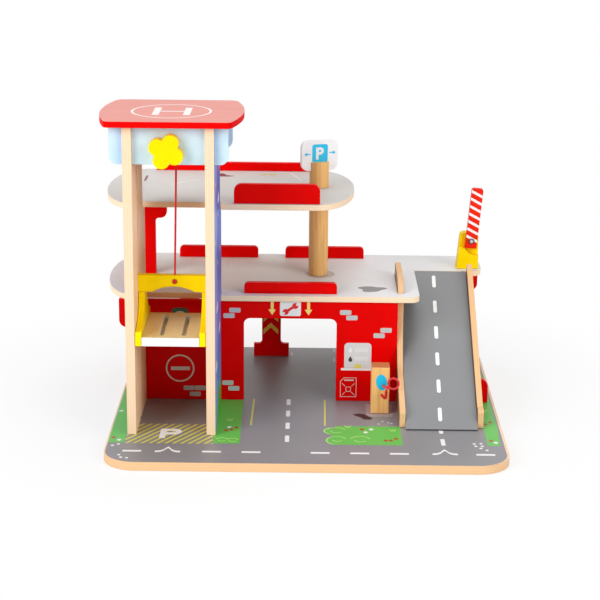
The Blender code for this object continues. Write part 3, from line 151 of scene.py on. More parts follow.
class Graph:
    """A material whose nodes are added one after another."""

    def __init__(self, name):
        self.material = bpy.data.materials.new(name)
        self.material.use_nodes = True
        self.tree = self.material.node_tree
        self.shader = self.tree.nodes["Principled BSDF"]

    def add(self, kind, inputs=None, **settings):
        made = self.tree.nodes.new(kind)
        for key, value in settings.items():
            setattr(made, key, value)
        for key, value in (inputs or {}).items():
            self.feed(made.inputs[key], value)
        return made

    def feed(self, socket, value):
        if isinstance(value, bpy.types.NodeSocket):
            self.tree.links.new(value, socket)
        else:
            socket.default_value = value

    def math(self, operation, first, second=0.0):
        return self.add("ShaderNodeMath", {0: first, 1: second}, operation=operation).outputs[0]

    def plus(self, first, second):
        return self.math("ADD", first, second)

    def minus(self, first, second):
        return self.math("SUBTRACT", first, second)

    def times(self, first, second):
        return self.math("MULTIPLY", first, second)

    def size(self, value):
        return self.math("ABSOLUTE", value)

    def spread(self, value, low, high):
        """Maps a value smoothly from low to high onto 0 to 1."""
        made = self.add("ShaderNodeMapRange", {"Value": value, "From Min": low, "From Max": high},
                        interpolation_type="SMOOTHSTEP")
        return made.outputs["Result"]

    def blend(self, factor, first, second):
        made = self.add("ShaderNodeMix", {0: factor, 6: colour(first), 7: colour(second)}, data_type="RGBA")
        return made.outputs[2]

    def place(self):
        """The point in the object's own space, split into X, Y and Z."""
        where = self.add("ShaderNodeTexCoord").outputs["Object"]
        return where, self.add("ShaderNodeSeparateXYZ", {0: where}).outputs

    def facing(self):
        """The surface's normal in the object's own space, split into X, Y and Z."""
        normal = self.add("ShaderNodeNewGeometry").outputs["Normal"]
        own = self.add("ShaderNodeVectorTransform", {0: normal}, vector_type="NORMAL",
                       convert_from="WORLD", convert_to="OBJECT")
        return self.add("ShaderNodeSeparateXYZ", {0: own.outputs[0]}).outputs

    def noise(self, scale, detail=3.0, stretch=(1, 1, 1)):
        where, _ = self.place()
        mapped = self.add("ShaderNodeMapping", {"Vector": where, "Scale": stretch}).outputs[0]
        made = self.add("ShaderNodeTexNoise", {"Vector": mapped, "Scale": scale, "Detail": detail,
                                               "Roughness": NOISE_ROUGHNESS})
        return made.outputs["Fac"]

    def bump(self, height, distance, strength=1.0, normal=None):
        links = {"Height": height, "Distance": distance, "Strength": strength}
        if normal is not None:
            links["Normal"] = normal
        return self.add("ShaderNodeBump", links).outputs["Normal"]

    def finish(self, tint, roughness, normal=None):
        """Feeds the shader and gives the material."""
        self.feed(self.shader.inputs["Base Color"], tint)
        self.feed(self.shader.inputs["Roughness"], roughness)
        if normal is not None:
            self.feed(self.shader.inputs["Normal"], normal)
        return self.material


def colour(value):
    """A colour socket as it is, or a colour with its alpha."""
    if isinstance(value, bpy.types.NodeSocket):
        return value
    return (*value, 1.0)


def shade(tint, share):
    """A darker or lighter version of a colour."""
    return tuple(min(1.0, part * share) for part in tint)


def put(name, data):
    """A new object in the scene."""
    piece = bpy.data.objects.new(name, data)
    bpy.context.scene.collection.objects.link(piece)
    return piece


# Materials

EDGE_ROUNDING = 0.0006
EDGE_ROUGHNESS = 0.55


def round_edges(g):
    """A normal that rounds crisp edges over, and a mask of those edges."""
    rounded = g.add("ShaderNodeBevel", {"Radius": EDGE_ROUNDING}, samples=4).outputs["Normal"]
    flat = g.add("ShaderNodeNewGeometry").outputs["Normal"]
    agreement = g.add("ShaderNodeVectorMath", {0: rounded, 1: flat}, operation="DOT_PRODUCT").outputs["Value"]
    return rounded, g.spread(agreement, 0.995, 0.90)


def stretch_along(axis, ratio):
    """A mapping scale that draws a noise out along one axis."""
    scale = [1.0, 1.0, 1.0]
    scale[AXES[axis]] = ratio
    return tuple(scale)


def fibres(g, axis):
    """Fine wood fibres that run along an axis, from 0 to 1."""
    fine = g.noise(900.0, 4.0, stretch_along(axis, 0.03))
    broad = g.noise(160.0, 3.0, stretch_along(axis, 0.06))
    return g.plus(g.times(fine, 0.55), g.times(broad, 0.45))


def painted(name, tint, grain="x", roughness=0.34, worn=PLY_PALE, wear=0.35, shine=0.04, top=None):
    """Satin paint on plywood: faint mottling, grain that shows through, edges rubbed a little.

    A board with a top colour shows it on its upper face; that colour is painted light: a painted sheen on the
    roof, painted shade and a painted yellow reflection on the lift floor.
    """
    g = Graph(name)
    g.shader.inputs["Specular IOR Level"].default_value = shine
    rounded, edge = round_edges(g)
    mottle = g.spread(g.noise(45.0, 4.0), 0.25, 0.75)
    body = g.blend(mottle, shade(tint, 0.93), shade(tint, 1.03))
    if top:
        # The upper face takes the top colour, which is painted light
        upward = g.math("GREATER_THAN", g.facing()[2], 0.8)
        body = g.blend(upward, body, g.blend(mottle, shade(top, 0.96), top))
    scuff = g.times(edge, g.spread(g.noise(260.0, 5.0), 0.56, 0.72))
    surface = g.blend(g.times(scuff, wear), body, worn)
    rough = g.plus(roughness - 0.05, g.times(g.noise(220.0, 3.0), 0.1))
    return g.finish(surface, rough, g.bump(fibres(g, grain), 0.00008, 0.35, rounded))


def veneer_colour(g, grain):
    """Rotary-cut birch: broad cathedral figure under fine fibres."""
    broad = g.noise(38.0, 2.5, stretch_along(grain, 0.12))
    rings = g.math("FRACT", g.times(broad, 9.0))
    figure = g.spread(g.size(g.minus(rings, 0.5)), 0.0, 0.5)
    base = g.blend(g.times(figure, 0.35), PLY_PALE, PLY_DARK)
    return g.blend(g.times(g.spread(fibres(g, grain), 0.35, 0.7), 0.22), base, PLY_DARK)


def layer_colour(g, axis, start, thickness, layers, wood):
    """The plies of a board's edge, stacked along an axis: pale long grain and darker end grain by turns."""
    _, where = g.place()
    depth = g.math("DIVIDE", g.minus(where[AXES[axis]], start), thickness / layers)
    waver = g.times(g.minus(g.noise(70.0, 2.0), 0.5), 0.25)
    phase = g.math("FRACT", g.times(g.plus(depth, waver), 0.5))
    dark = g.spread(g.size(g.minus(phase, 0.5)), 0.23, 0.27)
    glue = g.spread(g.size(g.minus(g.size(g.minus(phase, 0.5)), 0.25)), 0.045, 0.02)
    grainy = g.times(g.spread(g.noise(1400.0, 3.0), 0.35, 0.7), 0.3)
    pale = g.blend(grainy, wood, shade(wood, 0.93))
    end = g.blend(grainy, shade(wood, 0.93), shade(wood, 0.84))
    plies = g.blend(dark, end, pale)
    return g.blend(g.times(glue, 0.34), plies, GLUE_BROWN)


def board_box(node, axis):
    low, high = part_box(node)
    return low[AXES[axis]], high[AXES[axis]] - low[AXES[axis]]


def boarded(name, node, axis, grain, layers, faces, wood=PLY_PALE, shine=0.5, front=None):
    """A plywood board: its faces take what faces(g) gives, and its edges show the plies, with front-facing
    edges in a front tint if one is given (on the ramp, a painted shadow).
    """
    g = Graph(name)
    g.shader.inputs["Specular IOR Level"].default_value = shine
    rounded, _ = round_edges(g)
    start, thickness = board_box(node, axis)
    facing = g.facing()
    on_face = g.math("GREATER_THAN", g.size(facing[AXES[axis]]), 0.6)
    face_tint, face_rough = faces(g, facing)
    edges = layer_colour(g, axis, start, thickness, layers, wood)
    if front:
        # Front-facing edges take the front tint; on the ramp deck it is a painted shadow
        edges = g.blend(g.math("LESS_THAN", facing[1], -0.8), edges, front)
    rough = g.plus(g.times(on_face, face_rough - EDGE_ROUGHNESS), EDGE_ROUGHNESS)
    return g.finish(g.blend(on_face, edges, face_tint), rough, g.bump(fibres(g, grain), 0.0001, 0.4, rounded))


# An even tint on a board's faces; on the ramp sides it is painted shade on bare wood
def tinted_faces(tint):
    def faces(g, facing):
        mottle = g.spread(g.noise(45.0, 4.0), 0.25, 0.75)
        return g.blend(mottle, shade(tint, 0.93), tint), 0.36
    return faces


def within(g, left, right, front, back, radius):
    """1 inside a rectangle with round corners, seen from above, and 0 outside it."""
    _, where = g.place()
    spans = []
    for value, low, high in ((where[0], left, right), (where[1], front, back)):
        away = g.size(g.minus(value, (low + high) / 2))
        spans.append(g.math("MAXIMUM", g.minus(away, (high - low) / 2 - radius), 0.0))
    reach = g.math("SQRT", g.plus(g.math("POWER", spans[0], 2.0), g.math("POWER", spans[1], 2.0)))
    return g.spread(reach, radius + 0.0001, radius - 0.0001)


def printed_top(tint, roughness=0.42, panel=None):
    """A speckled print on the upper face, or on a panel of it, and bare veneer below."""
    def faces(g, facing):
        speckle = g.spread(g.noise(2200.0, 2.0), 0.3, 0.7)
        patches = g.spread(g.noise(14.0, 3.0), 0.3, 0.7)
        top = g.blend(g.times(g.plus(speckle, patches), 0.5), shade(tint, 0.93), shade(tint, 1.06))
        upward = g.math("GREATER_THAN", facing[2], 0.4)
        if panel:
            upward = g.times(upward, within(g, *panel))
        return g.blend(upward, veneer_colour(g, "x"), top), roughness
    return faces


# Heights and colours of the sky print on the outside of the tower
SKY_BANDS = ((0.034, (0.07, 0.40, 0.06)), (0.042, (0.04, 0.30, 0.62)), (0.085, (0.08, 0.20, 0.62)),
             (0.125, (0.16, 0.18, 0.60)), (0.16, (0.08, 0.08, 0.38)), (0.215, (0.04, 0.10, 0.58)),
             (0.25, (0.07, 0.08, 0.42)), (0.3, (0.06, 0.13, 0.56)))
HAZE = (0.24, 0.34, 0.72)
HAZE_FULL_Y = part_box("tower_side_right")[0].y + 0.03
HAZE_END_Y = HAZE_FULL_Y + 0.022


def sky_faces(outward):
    """A night-to-day sky over grass on the outer face, bare veneer on the inner face."""
    def faces(g, facing):
        _, where = g.place()
        hills = g.times(g.math("SINE", g.times(where[1], 95.0)), 0.004)
        height = g.minus(where[2], hills)
        sky = SKY_BANDS[0][1]
        for (low, _), (high, tint) in zip(SKY_BANDS, SKY_BANDS[1:]):
            sky = g.blend(g.spread(height, low, high), sky, tint)
        drift = g.times(g.math("SINE", g.times(where[2], 110.0)), 0.006)
        haze = g.spread(g.plus(where[1], drift), HAZE_END_Y, HAZE_FULL_Y)
        sky = g.blend(g.times(haze, 0.75), sky, HAZE)
        outer = g.math("GREATER_THAN", g.times(facing[0], outward), 0.5)
        return g.blend(outer, veneer_colour(g, "z"), sky), 0.42
    return faces


def pine(name, grain="z", end_tint=None):
    """Bare pine: pale summer wood with darker growth lines, and darker end grain if a tint is given."""
    g = Graph(name)
    rounded, _ = round_edges(g)
    broad = g.noise(60.0, 2.0, stretch_along(grain, 0.04))
    rings = g.math("FRACT", g.times(broad, 8.0))
    line = g.spread(rings, 0.55, 0.98)
    streak = g.spread(fibres(g, grain), 0.38, 0.66)
    wood = g.blend(g.times(line, 0.55), PINE_PALE, PINE_DARK)
    wood = g.blend(g.times(streak, 0.28), wood, PINE_DARK)
    if end_tint:
        end = g.math("GREATER_THAN", g.size(g.facing()[AXES[grain]]), 0.8)
        wood = g.blend(g.times(end, 0.85), wood, end_tint)
    return g.finish(wood, 0.5, g.bump(fibres(g, grain), 0.00015, 0.5, rounded))


def cord_material(name):
    """Cotton cord: fuzzy yarn with shade between its strands."""
    g = Graph(name)
    yarn = g.spread(g.noise(2600.0, 3.0), 0.3, 0.7)
    tint = g.blend(yarn, shade(CORD_RED, 0.6), shade(CORD_RED, 1.35))
    g.shader.inputs["Sheen Weight"].default_value = 0.3
    return g.finish(tint, 0.75, g.bump(yarn, 0.0001, 0.6))


def steel(name):
    g = Graph(name)
    brushed = g.noise(3000.0, 3.0)
    g.shader.inputs["Metallic"].default_value = 1.0
    return g.finish(g.blend(brushed, STEEL_DARK, STEEL_PALE), g.plus(0.22, g.times(brushed, 0.15)))


INKS = {}


def ink(tint):
    """One printing ink: an even film with faint press mottling."""
    if tint not in INKS:
        g = Graph(f"ink_{len(INKS) + 1}")
        mottle = g.spread(g.noise(700.0, 3.0), 0.2, 0.8)
        rough = g.plus(0.36, g.times(g.noise(300.0), 0.12))
        INKS[tint] = g.finish(g.blend(mottle, shade(tint, 0.92), tint), rough)
    return INKS[tint]


# Shapes of prints, as lists of points

FLOWER_SIZE = 0.003
STAR_SIZE = 0.0042
CLOUD_SIZE = 0.012


def arc(centre, radius, start, end, steps=8):
    points = []
    for step in range(steps + 1):
        angle = math.radians(start + (end - start) * step / steps)
        points.append((centre[0] + radius * math.cos(angle), centre[1] + radius * math.sin(angle)))
    return points


def circle(centre, radius, steps=48):
    return arc(centre, radius, 0, 360 - 360 / steps, steps - 1)


def ring(centre, outer, width):
    return [circle(centre, outer), circle(centre, outer - width)]


def pill(centre, width, height, radius):
    """A rectangle with round corners, about its middle."""
    left, right = centre[0] - width / 2 + radius, centre[0] + width / 2 - radius
    low, high = centre[1] - height / 2 + radius, centre[1] + height / 2 - radius
    points = arc((left, low), radius, 180, 270, 4) + arc((right, low), radius, 270, 360, 4)
    return points + arc((right, high), radius, 0, 90, 4) + arc((left, high), radius, 90, 180, 4)


def stroke(points, width):
    """A line of even width along its points, with square ends."""
    left, right = [], []
    for index, point in enumerate(points):
        before = Vector(points[max(index - 1, 0)])
        after = Vector(points[min(index + 1, len(points) - 1)])
        along = (after - before).normalized()
        across = Vector((-along.y, along.x)) * width / 2
        left.append(tuple(Vector(point) + across))
        right.append(tuple(Vector(point) - across))
    return left + right[::-1]


def turned(points, centre, angle):
    """Points turned about a centre by an angle in degrees."""
    cos, sin = math.cos(math.radians(angle)), math.sin(math.radians(angle))
    moved = []
    for x, y in points:
        dx, dy = x - centre[0], y - centre[1]
        moved.append((centre[0] + dx * cos - dy * sin, centre[1] + dx * sin + dy * cos))
    return moved


def outline_about(centre, reach, steps, width, height):
    """A closed outline about a centre, where reach gives the distance at an angle."""
    points = []
    for step in range(steps):
        angle = 2 * math.pi * step / steps
        points.append((centre[0] + width * reach(angle) * math.cos(angle),
                       centre[1] + height * reach(angle) * math.sin(angle)))
    return points


def ellipse(centre, width, height, steps=40):
    return outline_about(centre, lambda angle: 1.0, steps, width / 2, height / 2)


def blob(centre, width, height):
    """A soft puddle shape."""
    def reach(angle):
        return 1 + 0.18 * math.sin(3 * angle + 0.7) + 0.09 * math.sin(5 * angle)
    return outline_about(centre, reach, 40, width / 2, height / 2)


def flower(centre):
    """A round flower with lobed petals."""
    def reach(angle):
        return FLOWER_SIZE * (0.72 + 0.22 * math.cos(5 * angle))
    return outline_about(centre, reach, 30, 1.0, 1.2)


def star(centre):
    points = []
    for step in range(10):
        angle = math.pi / 2 + math.pi * step / 5
        reach = STAR_SIZE if step % 2 == 0 else STAR_SIZE * 0.45
        points.append((centre[0] + reach * math.cos(angle), centre[1] + reach * math.sin(angle)))
    return points


def cloud(centre):
    """Three puffs over a flat foot."""
    x, y = centre
    points = arc((x - CLOUD_SIZE * 0.62, y + CLOUD_SIZE * 0.26), CLOUD_SIZE * 0.30, 250, 100, 6)
    points += arc((x, y + CLOUD_SIZE * 0.50), CLOUD_SIZE * 0.42, 150, 30, 6)
    points += arc((x + CLOUD_SIZE * 0.62, y + CLOUD_SIZE * 0.26), CLOUD_SIZE * 0.30, 80, -70, 6)
    return points


def letter_p(centre, width, height, weight):
    """A bold capital P with a round bowl, as its outline and the hole of the bowl."""
    left = centre[0] - width / 2
    low, high = centre[1] - height / 2, centre[1] + height / 2
    bowl = height * 0.30
    middle = (left + width - bowl, high - bowl)
    outline = [(left, low), (left + weight, low), (left + weight, high - 2 * bowl)]
    outline += arc(middle, bowl, 270, 450, 12) + [(left, high)]
    inner = bowl - weight
    hole = [(left + weight, high - bowl - inner)] + arc(middle, inner, 270, 450, 12)
    hole += [(left + weight, high - bowl + inner)]
    return [outline, hole]


def letter_h(centre, width, height, weight, bar):
    """A capital H, as one outline."""
    x, y = width / 2, height / 2
    inner, middle = x - weight, bar / 2
    right = [(inner, -middle), (inner, -y), (x, -y), (x, y), (inner, y), (inner, middle)]
    left = [(-u, -v) for u, v in right]
    return [[(centre[0] + u, centre[1] + v) for u, v in right + left]]


def arrow(tip, length, head, width, shaft, angle):
    """An arrow that points along its angle, in degrees, with its tip at a point."""
    x, y = tip
    points = [(x, y), (x - head, y + width / 2), (x - head, y + shaft / 2), (x - length, y + shaft / 2),
              (x - length, y - shaft / 2), (x - head, y - shaft / 2), (x - head, y - width / 2)]
    return turned(points, tip, angle)


def drop(centre, radius):
    """A drop with its point upwards."""
    return arc(centre, radius, 150, 390, 14) + [(centre[0], centre[1] + radius * 2.1)]


# Prints on their boards

def stamp(name, loops, tint, plane, layer=1, body="garage"):
    """Flat shapes printed on a plane, where a higher layer lies over a lower one."""
    curve = bpy.data.curves.new(name, "CURVE")
    curve.dimensions = "2D"
    curve.fill_mode = "BOTH"
    curve.extrude = PRINT_THICKNESS / 2
    for loop in loops:
        spline = curve.splines.new("POLY")
        spline.points.add(len(loop) - 1)
        for point, (u, v) in zip(spline.points, loop):
            point.co = (u, v, 0, 1)
        spline.use_cyclic_u = True
    curve.materials.append(ink(tint))
    piece = put(name, curve)
    piece.matrix_world = plane @ Matrix.Translation((0, 0, PRINT_LIFT * layer))
    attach(piece, body)


def upright(turn=0.0):
    """Stands a print up to face the viewer, then turns it about the vertical."""
    return Euler((math.pi / 2, 0, turn)).to_matrix().to_4x4()


def on_top(height):
    """Plan coordinates on a level board."""
    return Matrix.Translation((CENTRE_X, 0, height))


def on_front(y):
    """X and Z coordinates on an upright board that faces the viewer."""
    return Matrix.Translation((CENTRE_X, y, 0)) @ upright()


def on_side(x, outward):
    """Y, or minus Y where outward is -1, and Z on an upright board that faces right, or left."""
    return Matrix.Translation((x, 0, 0)) @ upright(outward * math.pi / 2)


def camera():
    forward = Vector((math.sin(YAW) * math.cos(PITCH_DOWN), math.cos(YAW) * math.cos(PITCH_DOWN),
                      -math.sin(PITCH_DOWN)))
    level = Vector((math.cos(YAW), -math.sin(YAW), 0))
    above = level.cross(forward)
    right = math.cos(ROLL) * level + math.sin(ROLL) * above
    up = math.cos(ROLL) * above - math.sin(ROLL) * level
    data = bpy.data.cameras.new("camera")
    data.lens = LENS
    data.sensor_width = SENSOR
    data.sensor_fit = "HORIZONTAL"
    data.clip_end = 20.0
    eye = put("camera", data)
    turn = Matrix((right, up, -forward)).transposed().to_4x4()
    eye.matrix_world = Matrix.Translation(Vector(CAMERA_PLACE) + Vector((CENTRE_X, 0, 0))) @ turn
    bpy.context.scene.camera = eye


camera()


# Cords

HOSE_DIAMETER = 0.0022
HOSE_STEP = 0.0018
HOSE_FINE_STEP = 0.0006
HOSE_LAY = 0.006
HOSE_LOOP_CENTRE = (0.0896, 0.0454)
HOSE_LOOP_RADIUS = 0.0055
HOSE_LOOP_POINTS = 24
HOSE_LOOP_START = math.radians(215.0)
HOSE_LOOP_FRONT_Y = -0.0465
HOSE_LOOP_ADVANCE = 0.0035
HOSE_START = ((0.0794, -0.0358, 0.0405), (0.0794, -0.0402, 0.0405), (0.0794, -0.0421, 0.0405),
              (0.0806, -0.045, 0.0404))
HOSE_END = ((0.0826, -0.05, 0.0401), (0.0822, -0.0496, 0.0378))
STRING_DIAMETER = 0.0019
STRING_SHOWN = 0.0022
STRING_LAY = 0.0052
STRING_STEPS = 260
KNOT_SIZE = 0.00053
KNOT_RADIUS = 0.00085
KNOT_LAY = 0.004
KNOT_STEPS = 90
WINDING_TURNS = 6
WINDING_TURN_STEPS = 60


def smooth_route(points, spacing):
    """Points at even steps along a smooth curve through the given ones."""
    route = [Vector(point) for point in points]
    ends = [2 * route[0] - route[1], *route, 2 * route[-1] - route[-2]]
    dense = []
    for index in range(1, len(ends) - 2):
        a, b, c, d = ends[index - 1:index + 3]
        for step in range(12):
            t = step / 12
            dense.append(0.5 * (2 * b + (c - a) * t + (2 * a - 5 * b + 4 * c - d) * t ** 2
                                + (3 * b - a - 3 * c + d) * t ** 3))
    dense.append(route[-1])
    total = sum((second - first).length for first, second in zip(dense, dense[1:]))
    count = max(2, round(total / spacing))
    result = [dense[0]]
    walked = 0.0
    for first, second in zip(dense, dense[1:]):
        length = (second - first).length
        while walked + length >= total * len(result) / count and len(result) < count:
            share = (total * len(result) / count - walked) / length
            result.append(first.lerp(second, share))
        walked += length
    result.append(dense[-1])
    return result


STRANDS = 3


def twisted_tube(name, route, radius, material, lay, sides=15, closed=False):
    """A cord of twisted strands: its section has a lobe for each strand and turns along the route."""
    shape = bmesh.new()
    rings = []
    count = len(route)
    frame_up = None
    walked = 0.0
    for index, point in enumerate(route):
        before = route[index - 1] if closed or index else route[0]
        after = route[(index + 1) % count] if closed or index < count - 1 else route[-1]
        along = (after - before).normalized()
        if frame_up is None:
            frame_up = along.orthogonal().normalized()
        frame_up = (frame_up - along * frame_up.dot(along)).normalized()
        side = along.cross(frame_up)
        ring_points = []
        for corner in range(sides):
            angle = 2 * math.pi * corner / sides
            lobe = abs(math.cos(STRANDS / 2 * (angle - 2 * math.pi * walked / lay)))
            reach = radius * (0.80 + 0.20 * lobe)
            offset = reach * (math.cos(angle) * frame_up + math.sin(angle) * side)
            ring_points.append(shape.verts.new(point + offset))
        rings.append(ring_points)
        if index < count - 1:
            walked += (route[index + 1] - point).length
    pairs = list(zip(rings, rings[1:]))
    if closed:
        pairs.append((rings[-1], rings[0]))
    for first, second in pairs:
        for corner in range(sides):
            following = (corner + 1) % sides
            shape.faces.new((first[corner], first[following], second[following], second[corner]))
    if not closed:
        shape.faces.new(rings[0][::-1])
        shape.faces.new(rings[-1])
    bmesh.ops.recalc_face_normals(shape, faces=shape.faces)
    mesh = bpy.data.meshes.new(name)
    shape.to_mesh(mesh)
    shape.free()
    mesh.shade_smooth()
    mesh.materials.append(material)
    return put(name, mesh)


def from_middle(point):
    """A point measured from the middle of the base board, in the frame."""
    return Vector((point[0] + CENTRE_X, point[1], point[2]))


def hose_loop():
    """The one loop of the hose to the right of the pump, which comes forward as it turns."""
    points = []
    for step in range(HOSE_LOOP_POINTS + 1):
        turn = step / HOSE_LOOP_POINTS
        angle = HOSE_LOOP_START - 2 * math.pi * turn
        points.append((HOSE_LOOP_CENTRE[0] + HOSE_LOOP_RADIUS * math.cos(angle),
                       HOSE_LOOP_FRONT_Y - HOSE_LOOP_ADVANCE * turn,
                       HOSE_LOOP_CENTRE[1] + HOSE_LOOP_RADIUS * math.sin(angle)))
    return points


def make_hose(material):
    points = [from_middle(point) for point in (*HOSE_START, *hose_loop(), *HOSE_END)]
    route = smooth_route(points, HOSE_STEP)
    fine = smooth_route(route, HOSE_FINE_STEP)
    hose = twisted_tube("pump_hose_cord", fine, HOSE_DIAMETER / 2, material, HOSE_LAY)
    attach(hose, "garage")
    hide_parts("pump_hose")


def make_string(material):
    """The lift string, made as a fixed cord; the real string shortens as the car rises."""
    low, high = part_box("lift_string")
    top = Vector((high.x - STRING_DIAMETER / 2, (low.y + high.y) / 2, high.z))
    bottom = Vector((low.x + STRING_DIAMETER / 2, top.y, low.z))
    route = [top.lerp(bottom, step / STRING_STEPS) for step in range(STRING_STEPS + 1)]
    string = twisted_tube("lift_string_cord", route, STRING_SHOWN / 2, material, STRING_LAY)
    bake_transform(string)
    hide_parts("lift_string")


def make_knot(material):
    """The tied knot in the arch, a trefoil."""
    low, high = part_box("lift_knot")
    middle = (low + high) / 2
    route = []
    for step in range(KNOT_STEPS):
        t = 2 * math.pi * step / KNOT_STEPS
        route.append(middle + KNOT_SIZE * Vector((math.sin(t) + 2 * math.sin(2 * t), 1.3 * math.sin(3 * t),
                                                  math.cos(t) - 2 * math.cos(2 * t))))
    knot = twisted_tube("lift_knot_cord", route, KNOT_RADIUS, material, KNOT_LAY, sides=12, closed=True)
    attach(knot, "lift")
    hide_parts("lift_knot")


def make_winding(material):
    """The turns of string on the axle."""
    low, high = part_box("string_winding")
    middle = (low + high) / 2
    radius = (high.x - low.x - STRING_DIAMETER) / 2
    span = high.y - low.y - STRING_DIAMETER * 1.04
    steps = WINDING_TURNS * WINDING_TURN_STEPS
    route = []
    for step in range(steps + 1):
        share = step / steps
        angle = 2 * math.pi * WINDING_TURNS * share
        around = Vector((radius * math.cos(angle), span * (share - 0.5), radius * math.sin(angle)))
        route.append(middle + around)
    thread = STRING_DIAMETER * 0.46
    winding = twisted_tube("string_winding_cord", route, thread, material, STRING_LAY, sides=9)
    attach(winding, "winch")
    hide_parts("string_winding")


CORD = cord_material("cotton_cord")
make_hose(CORD)
make_string(CORD)
make_knot(CORD)
make_winding(CORD)


# Boards and blocks

def dress(node, material):
    slots = frame["nodes"][node].data.materials
    slots.clear()
    slots.append(material)


def paint(node, *looks, **settings):
    """Satin paint in a material named after its piece."""
    dress(node, painted(f"{node}_paint", *looks, **settings))


def dress_nodes():
    for node in ("front_wall", "back_trestle", "rail_lower_front", "rail_lower_back_left",
                 "rail_lower_back_right", "rail_upper_front", "rail_upper_back"):
        paint(node, RED)
    paint("upper_column", RED, "z")
    # The roof's upper face takes a painted sheen
    dress("helipad_roof", painted("roof_paint", RED, roughness=0.55, wear=0.2, top=ROOF_TOP_SHEEN))
    for node in ("header_front", "header_back"):
        paint(node, PALE_BLUE)
    dress("winch_knob", painted("knob_paint", KNOB_YELLOW))
    for node in ("lift_side_left", "lift_side_right"):
        paint(node, YELLOW, "y")
    paint("lift_arch", YELLOW)
    # The lift floor's upper face takes painted shade and a painted yellow reflection
    paint("lift_floor", FLOOR_SIDES, "y", shine=0.4, top=LIFT_FLOOR_SHADED_TOP)
    paint("barrier_post", POST_YELLOW, "z")
    paint("barrier_arm", ARM_RED, "z", worn=WHITE)
    dress("barrier_screw", steel("screw_steel"))
    dress("sign_board", painted("sign_paint", WHITE, shine=0.4))
    for node in ("pole_lower", "pole_upper"):
        dress(node, pine(f"{node}_pine"))
    dress("fuel_pump", pine("fuel_pump_pine", end_tint=PINE_END))
    for node in ("winch_axle", "winch_end_stop"):
        dress(node, pine(f"{node}_pine", "y"))
    dress("pump_nozzle", painted("nozzle_dip", NOZZLE_RED))
    panel = (CENTRE_X + PRINT_LEFT, CENTRE_X + PRINT_RIGHT, PRINT_FRONT, -PRINT_FRONT, PRINT_RADIUS)
    road = printed_top(ROAD_GREY, panel=panel)
    dress("base_board", boarded("base_ply", "base_board", "z", "x", 7, road, PLY_BASE))
    # The lower deck's lighter grey is painted light against its shade
    for node, grey in (("deck_lower", LOWER_DECK_LIGHTENED_GREY), ("deck_upper", UPPER_DECK_GREY)):
        top = printed_top(grey, 0.5)
        dress(node, boarded(f"{node}_ply", node, "z", "x", 5, top, PLY_CREAM, shine=0.25))
    road = printed_top(RAMP_GREY)
    # The ramp deck's front end is a painted shadow
    dress("ramp_deck", boarded("ramp_ply", "ramp_deck", "z", "y", 60, road, front=RAMP_FOOT_SHADOW))
    # The ramp sides' faces are bare wood with painted shade
    for node in ("ramp_side_left", "ramp_side_right"):
        shaded_faces = tinted_faces(RAMP_SIDE_SHADE)
        dress(node, boarded(f"{node}_ply", node, "x", "y", 5, shaded_faces, PLY_BASE, shine=0.08))
    for side, outward in (("left", -1), ("right", 1)):
        node = f"tower_side_{side}"
        dress(node, boarded(f"tower_{side}_ply", node, "x", "z", 7, sky_faces(outward), shine=0.08))


dress_nodes()


# Prints on the base board

BASE_PLANE = on_top(BASE_HIGH.z)
ROAD_X = -0.0198
DASH_WIDTH = 0.0043
DASH_LENGTH = 0.0182
ROAD_DASHES = (-0.0068, -0.0425, -0.079, -0.1162)
KERB_Y = -0.1542
KERB_LENGTH = 0.0188
KERB_WIDTH = 0.0044
KERB_STARTS = (-0.1816, -0.103, -0.0641, 0.004, 0.043, 0.082, 0.167)
GIVE_WAYS = ((-0.137, -0.155), (0.1366, -0.154))
EDGE_LINE_WIDTH = 0.0019


def dash(x, y, length=DASH_LENGTH):
    return pill((x, y), DASH_WIDTH, length, 0.0013)


def bracket(x, y):
    """The give-way mark: a flat line that rises to a point in its middle."""
    rise = [(-0.0125, 0.0), (-0.008, 0.0006), (-0.0043, 0.0034), (-0.0018, 0.0085), (0.0, 0.0112)]
    line = rise + [(-u, v) for u, v in rise[-2::-1]]
    upper = [(x + u, y + v + KERB_WIDTH / 2) for u, v in line]
    lower = [(x + u, y + v - KERB_WIDTH / 2) for u, v in line]
    return upper + lower[::-1]


def print_road():
    white = [dash(ROAD_X, y) for y in ROAD_DASHES]
    white += [dash(0.1369, -0.0905, 0.0125), dash(0.1367, -0.1213)]
    for start in KERB_STARTS:
        white.append(pill((start + KERB_LENGTH / 2, KERB_Y), KERB_LENGTH, KERB_WIDTH, 0.0009))
    white += [bracket(*place) for place in GIVE_WAYS]
    stamp("road_marks", white, INK_WHITE, BASE_PLANE)
    yellow = [stroke([(-0.0569, 0.0018), (-0.0577, -0.0788)], EDGE_LINE_WIDTH),
              stroke([(0.019, 0.0019), (0.0185, -0.0778)], EDGE_LINE_WIDTH)]
    stamp("road_edge_lines", yellow, INK_YELLOW, BASE_PLANE)


BAY_LEFT = -0.1815
BAY_RIGHT = -0.0935
BAY_FRONT = -0.133
BAY_BACK = -0.0775
BAY_ANGLE = math.radians(57.0)
BAY_PITCH = 0.0078
BAY_STRIPE = 0.0031


def clip(corners, left, right):
    """A convex outline cut off at a left and a right edge."""
    for limit, keep in ((left, 1), (right, -1)):
        kept = []
        for index, (x, y) in enumerate(corners):
            before = corners[index - 1]
            inside = (x - limit) * keep >= 0
            was_inside = (before[0] - limit) * keep >= 0
            if inside != was_inside:
                share = (limit - before[0]) / (x - before[0])
                kept.append((limit, before[1] + share * (y - before[1])))
            if inside:
                kept.append((x, y))
        corners = kept
    return corners


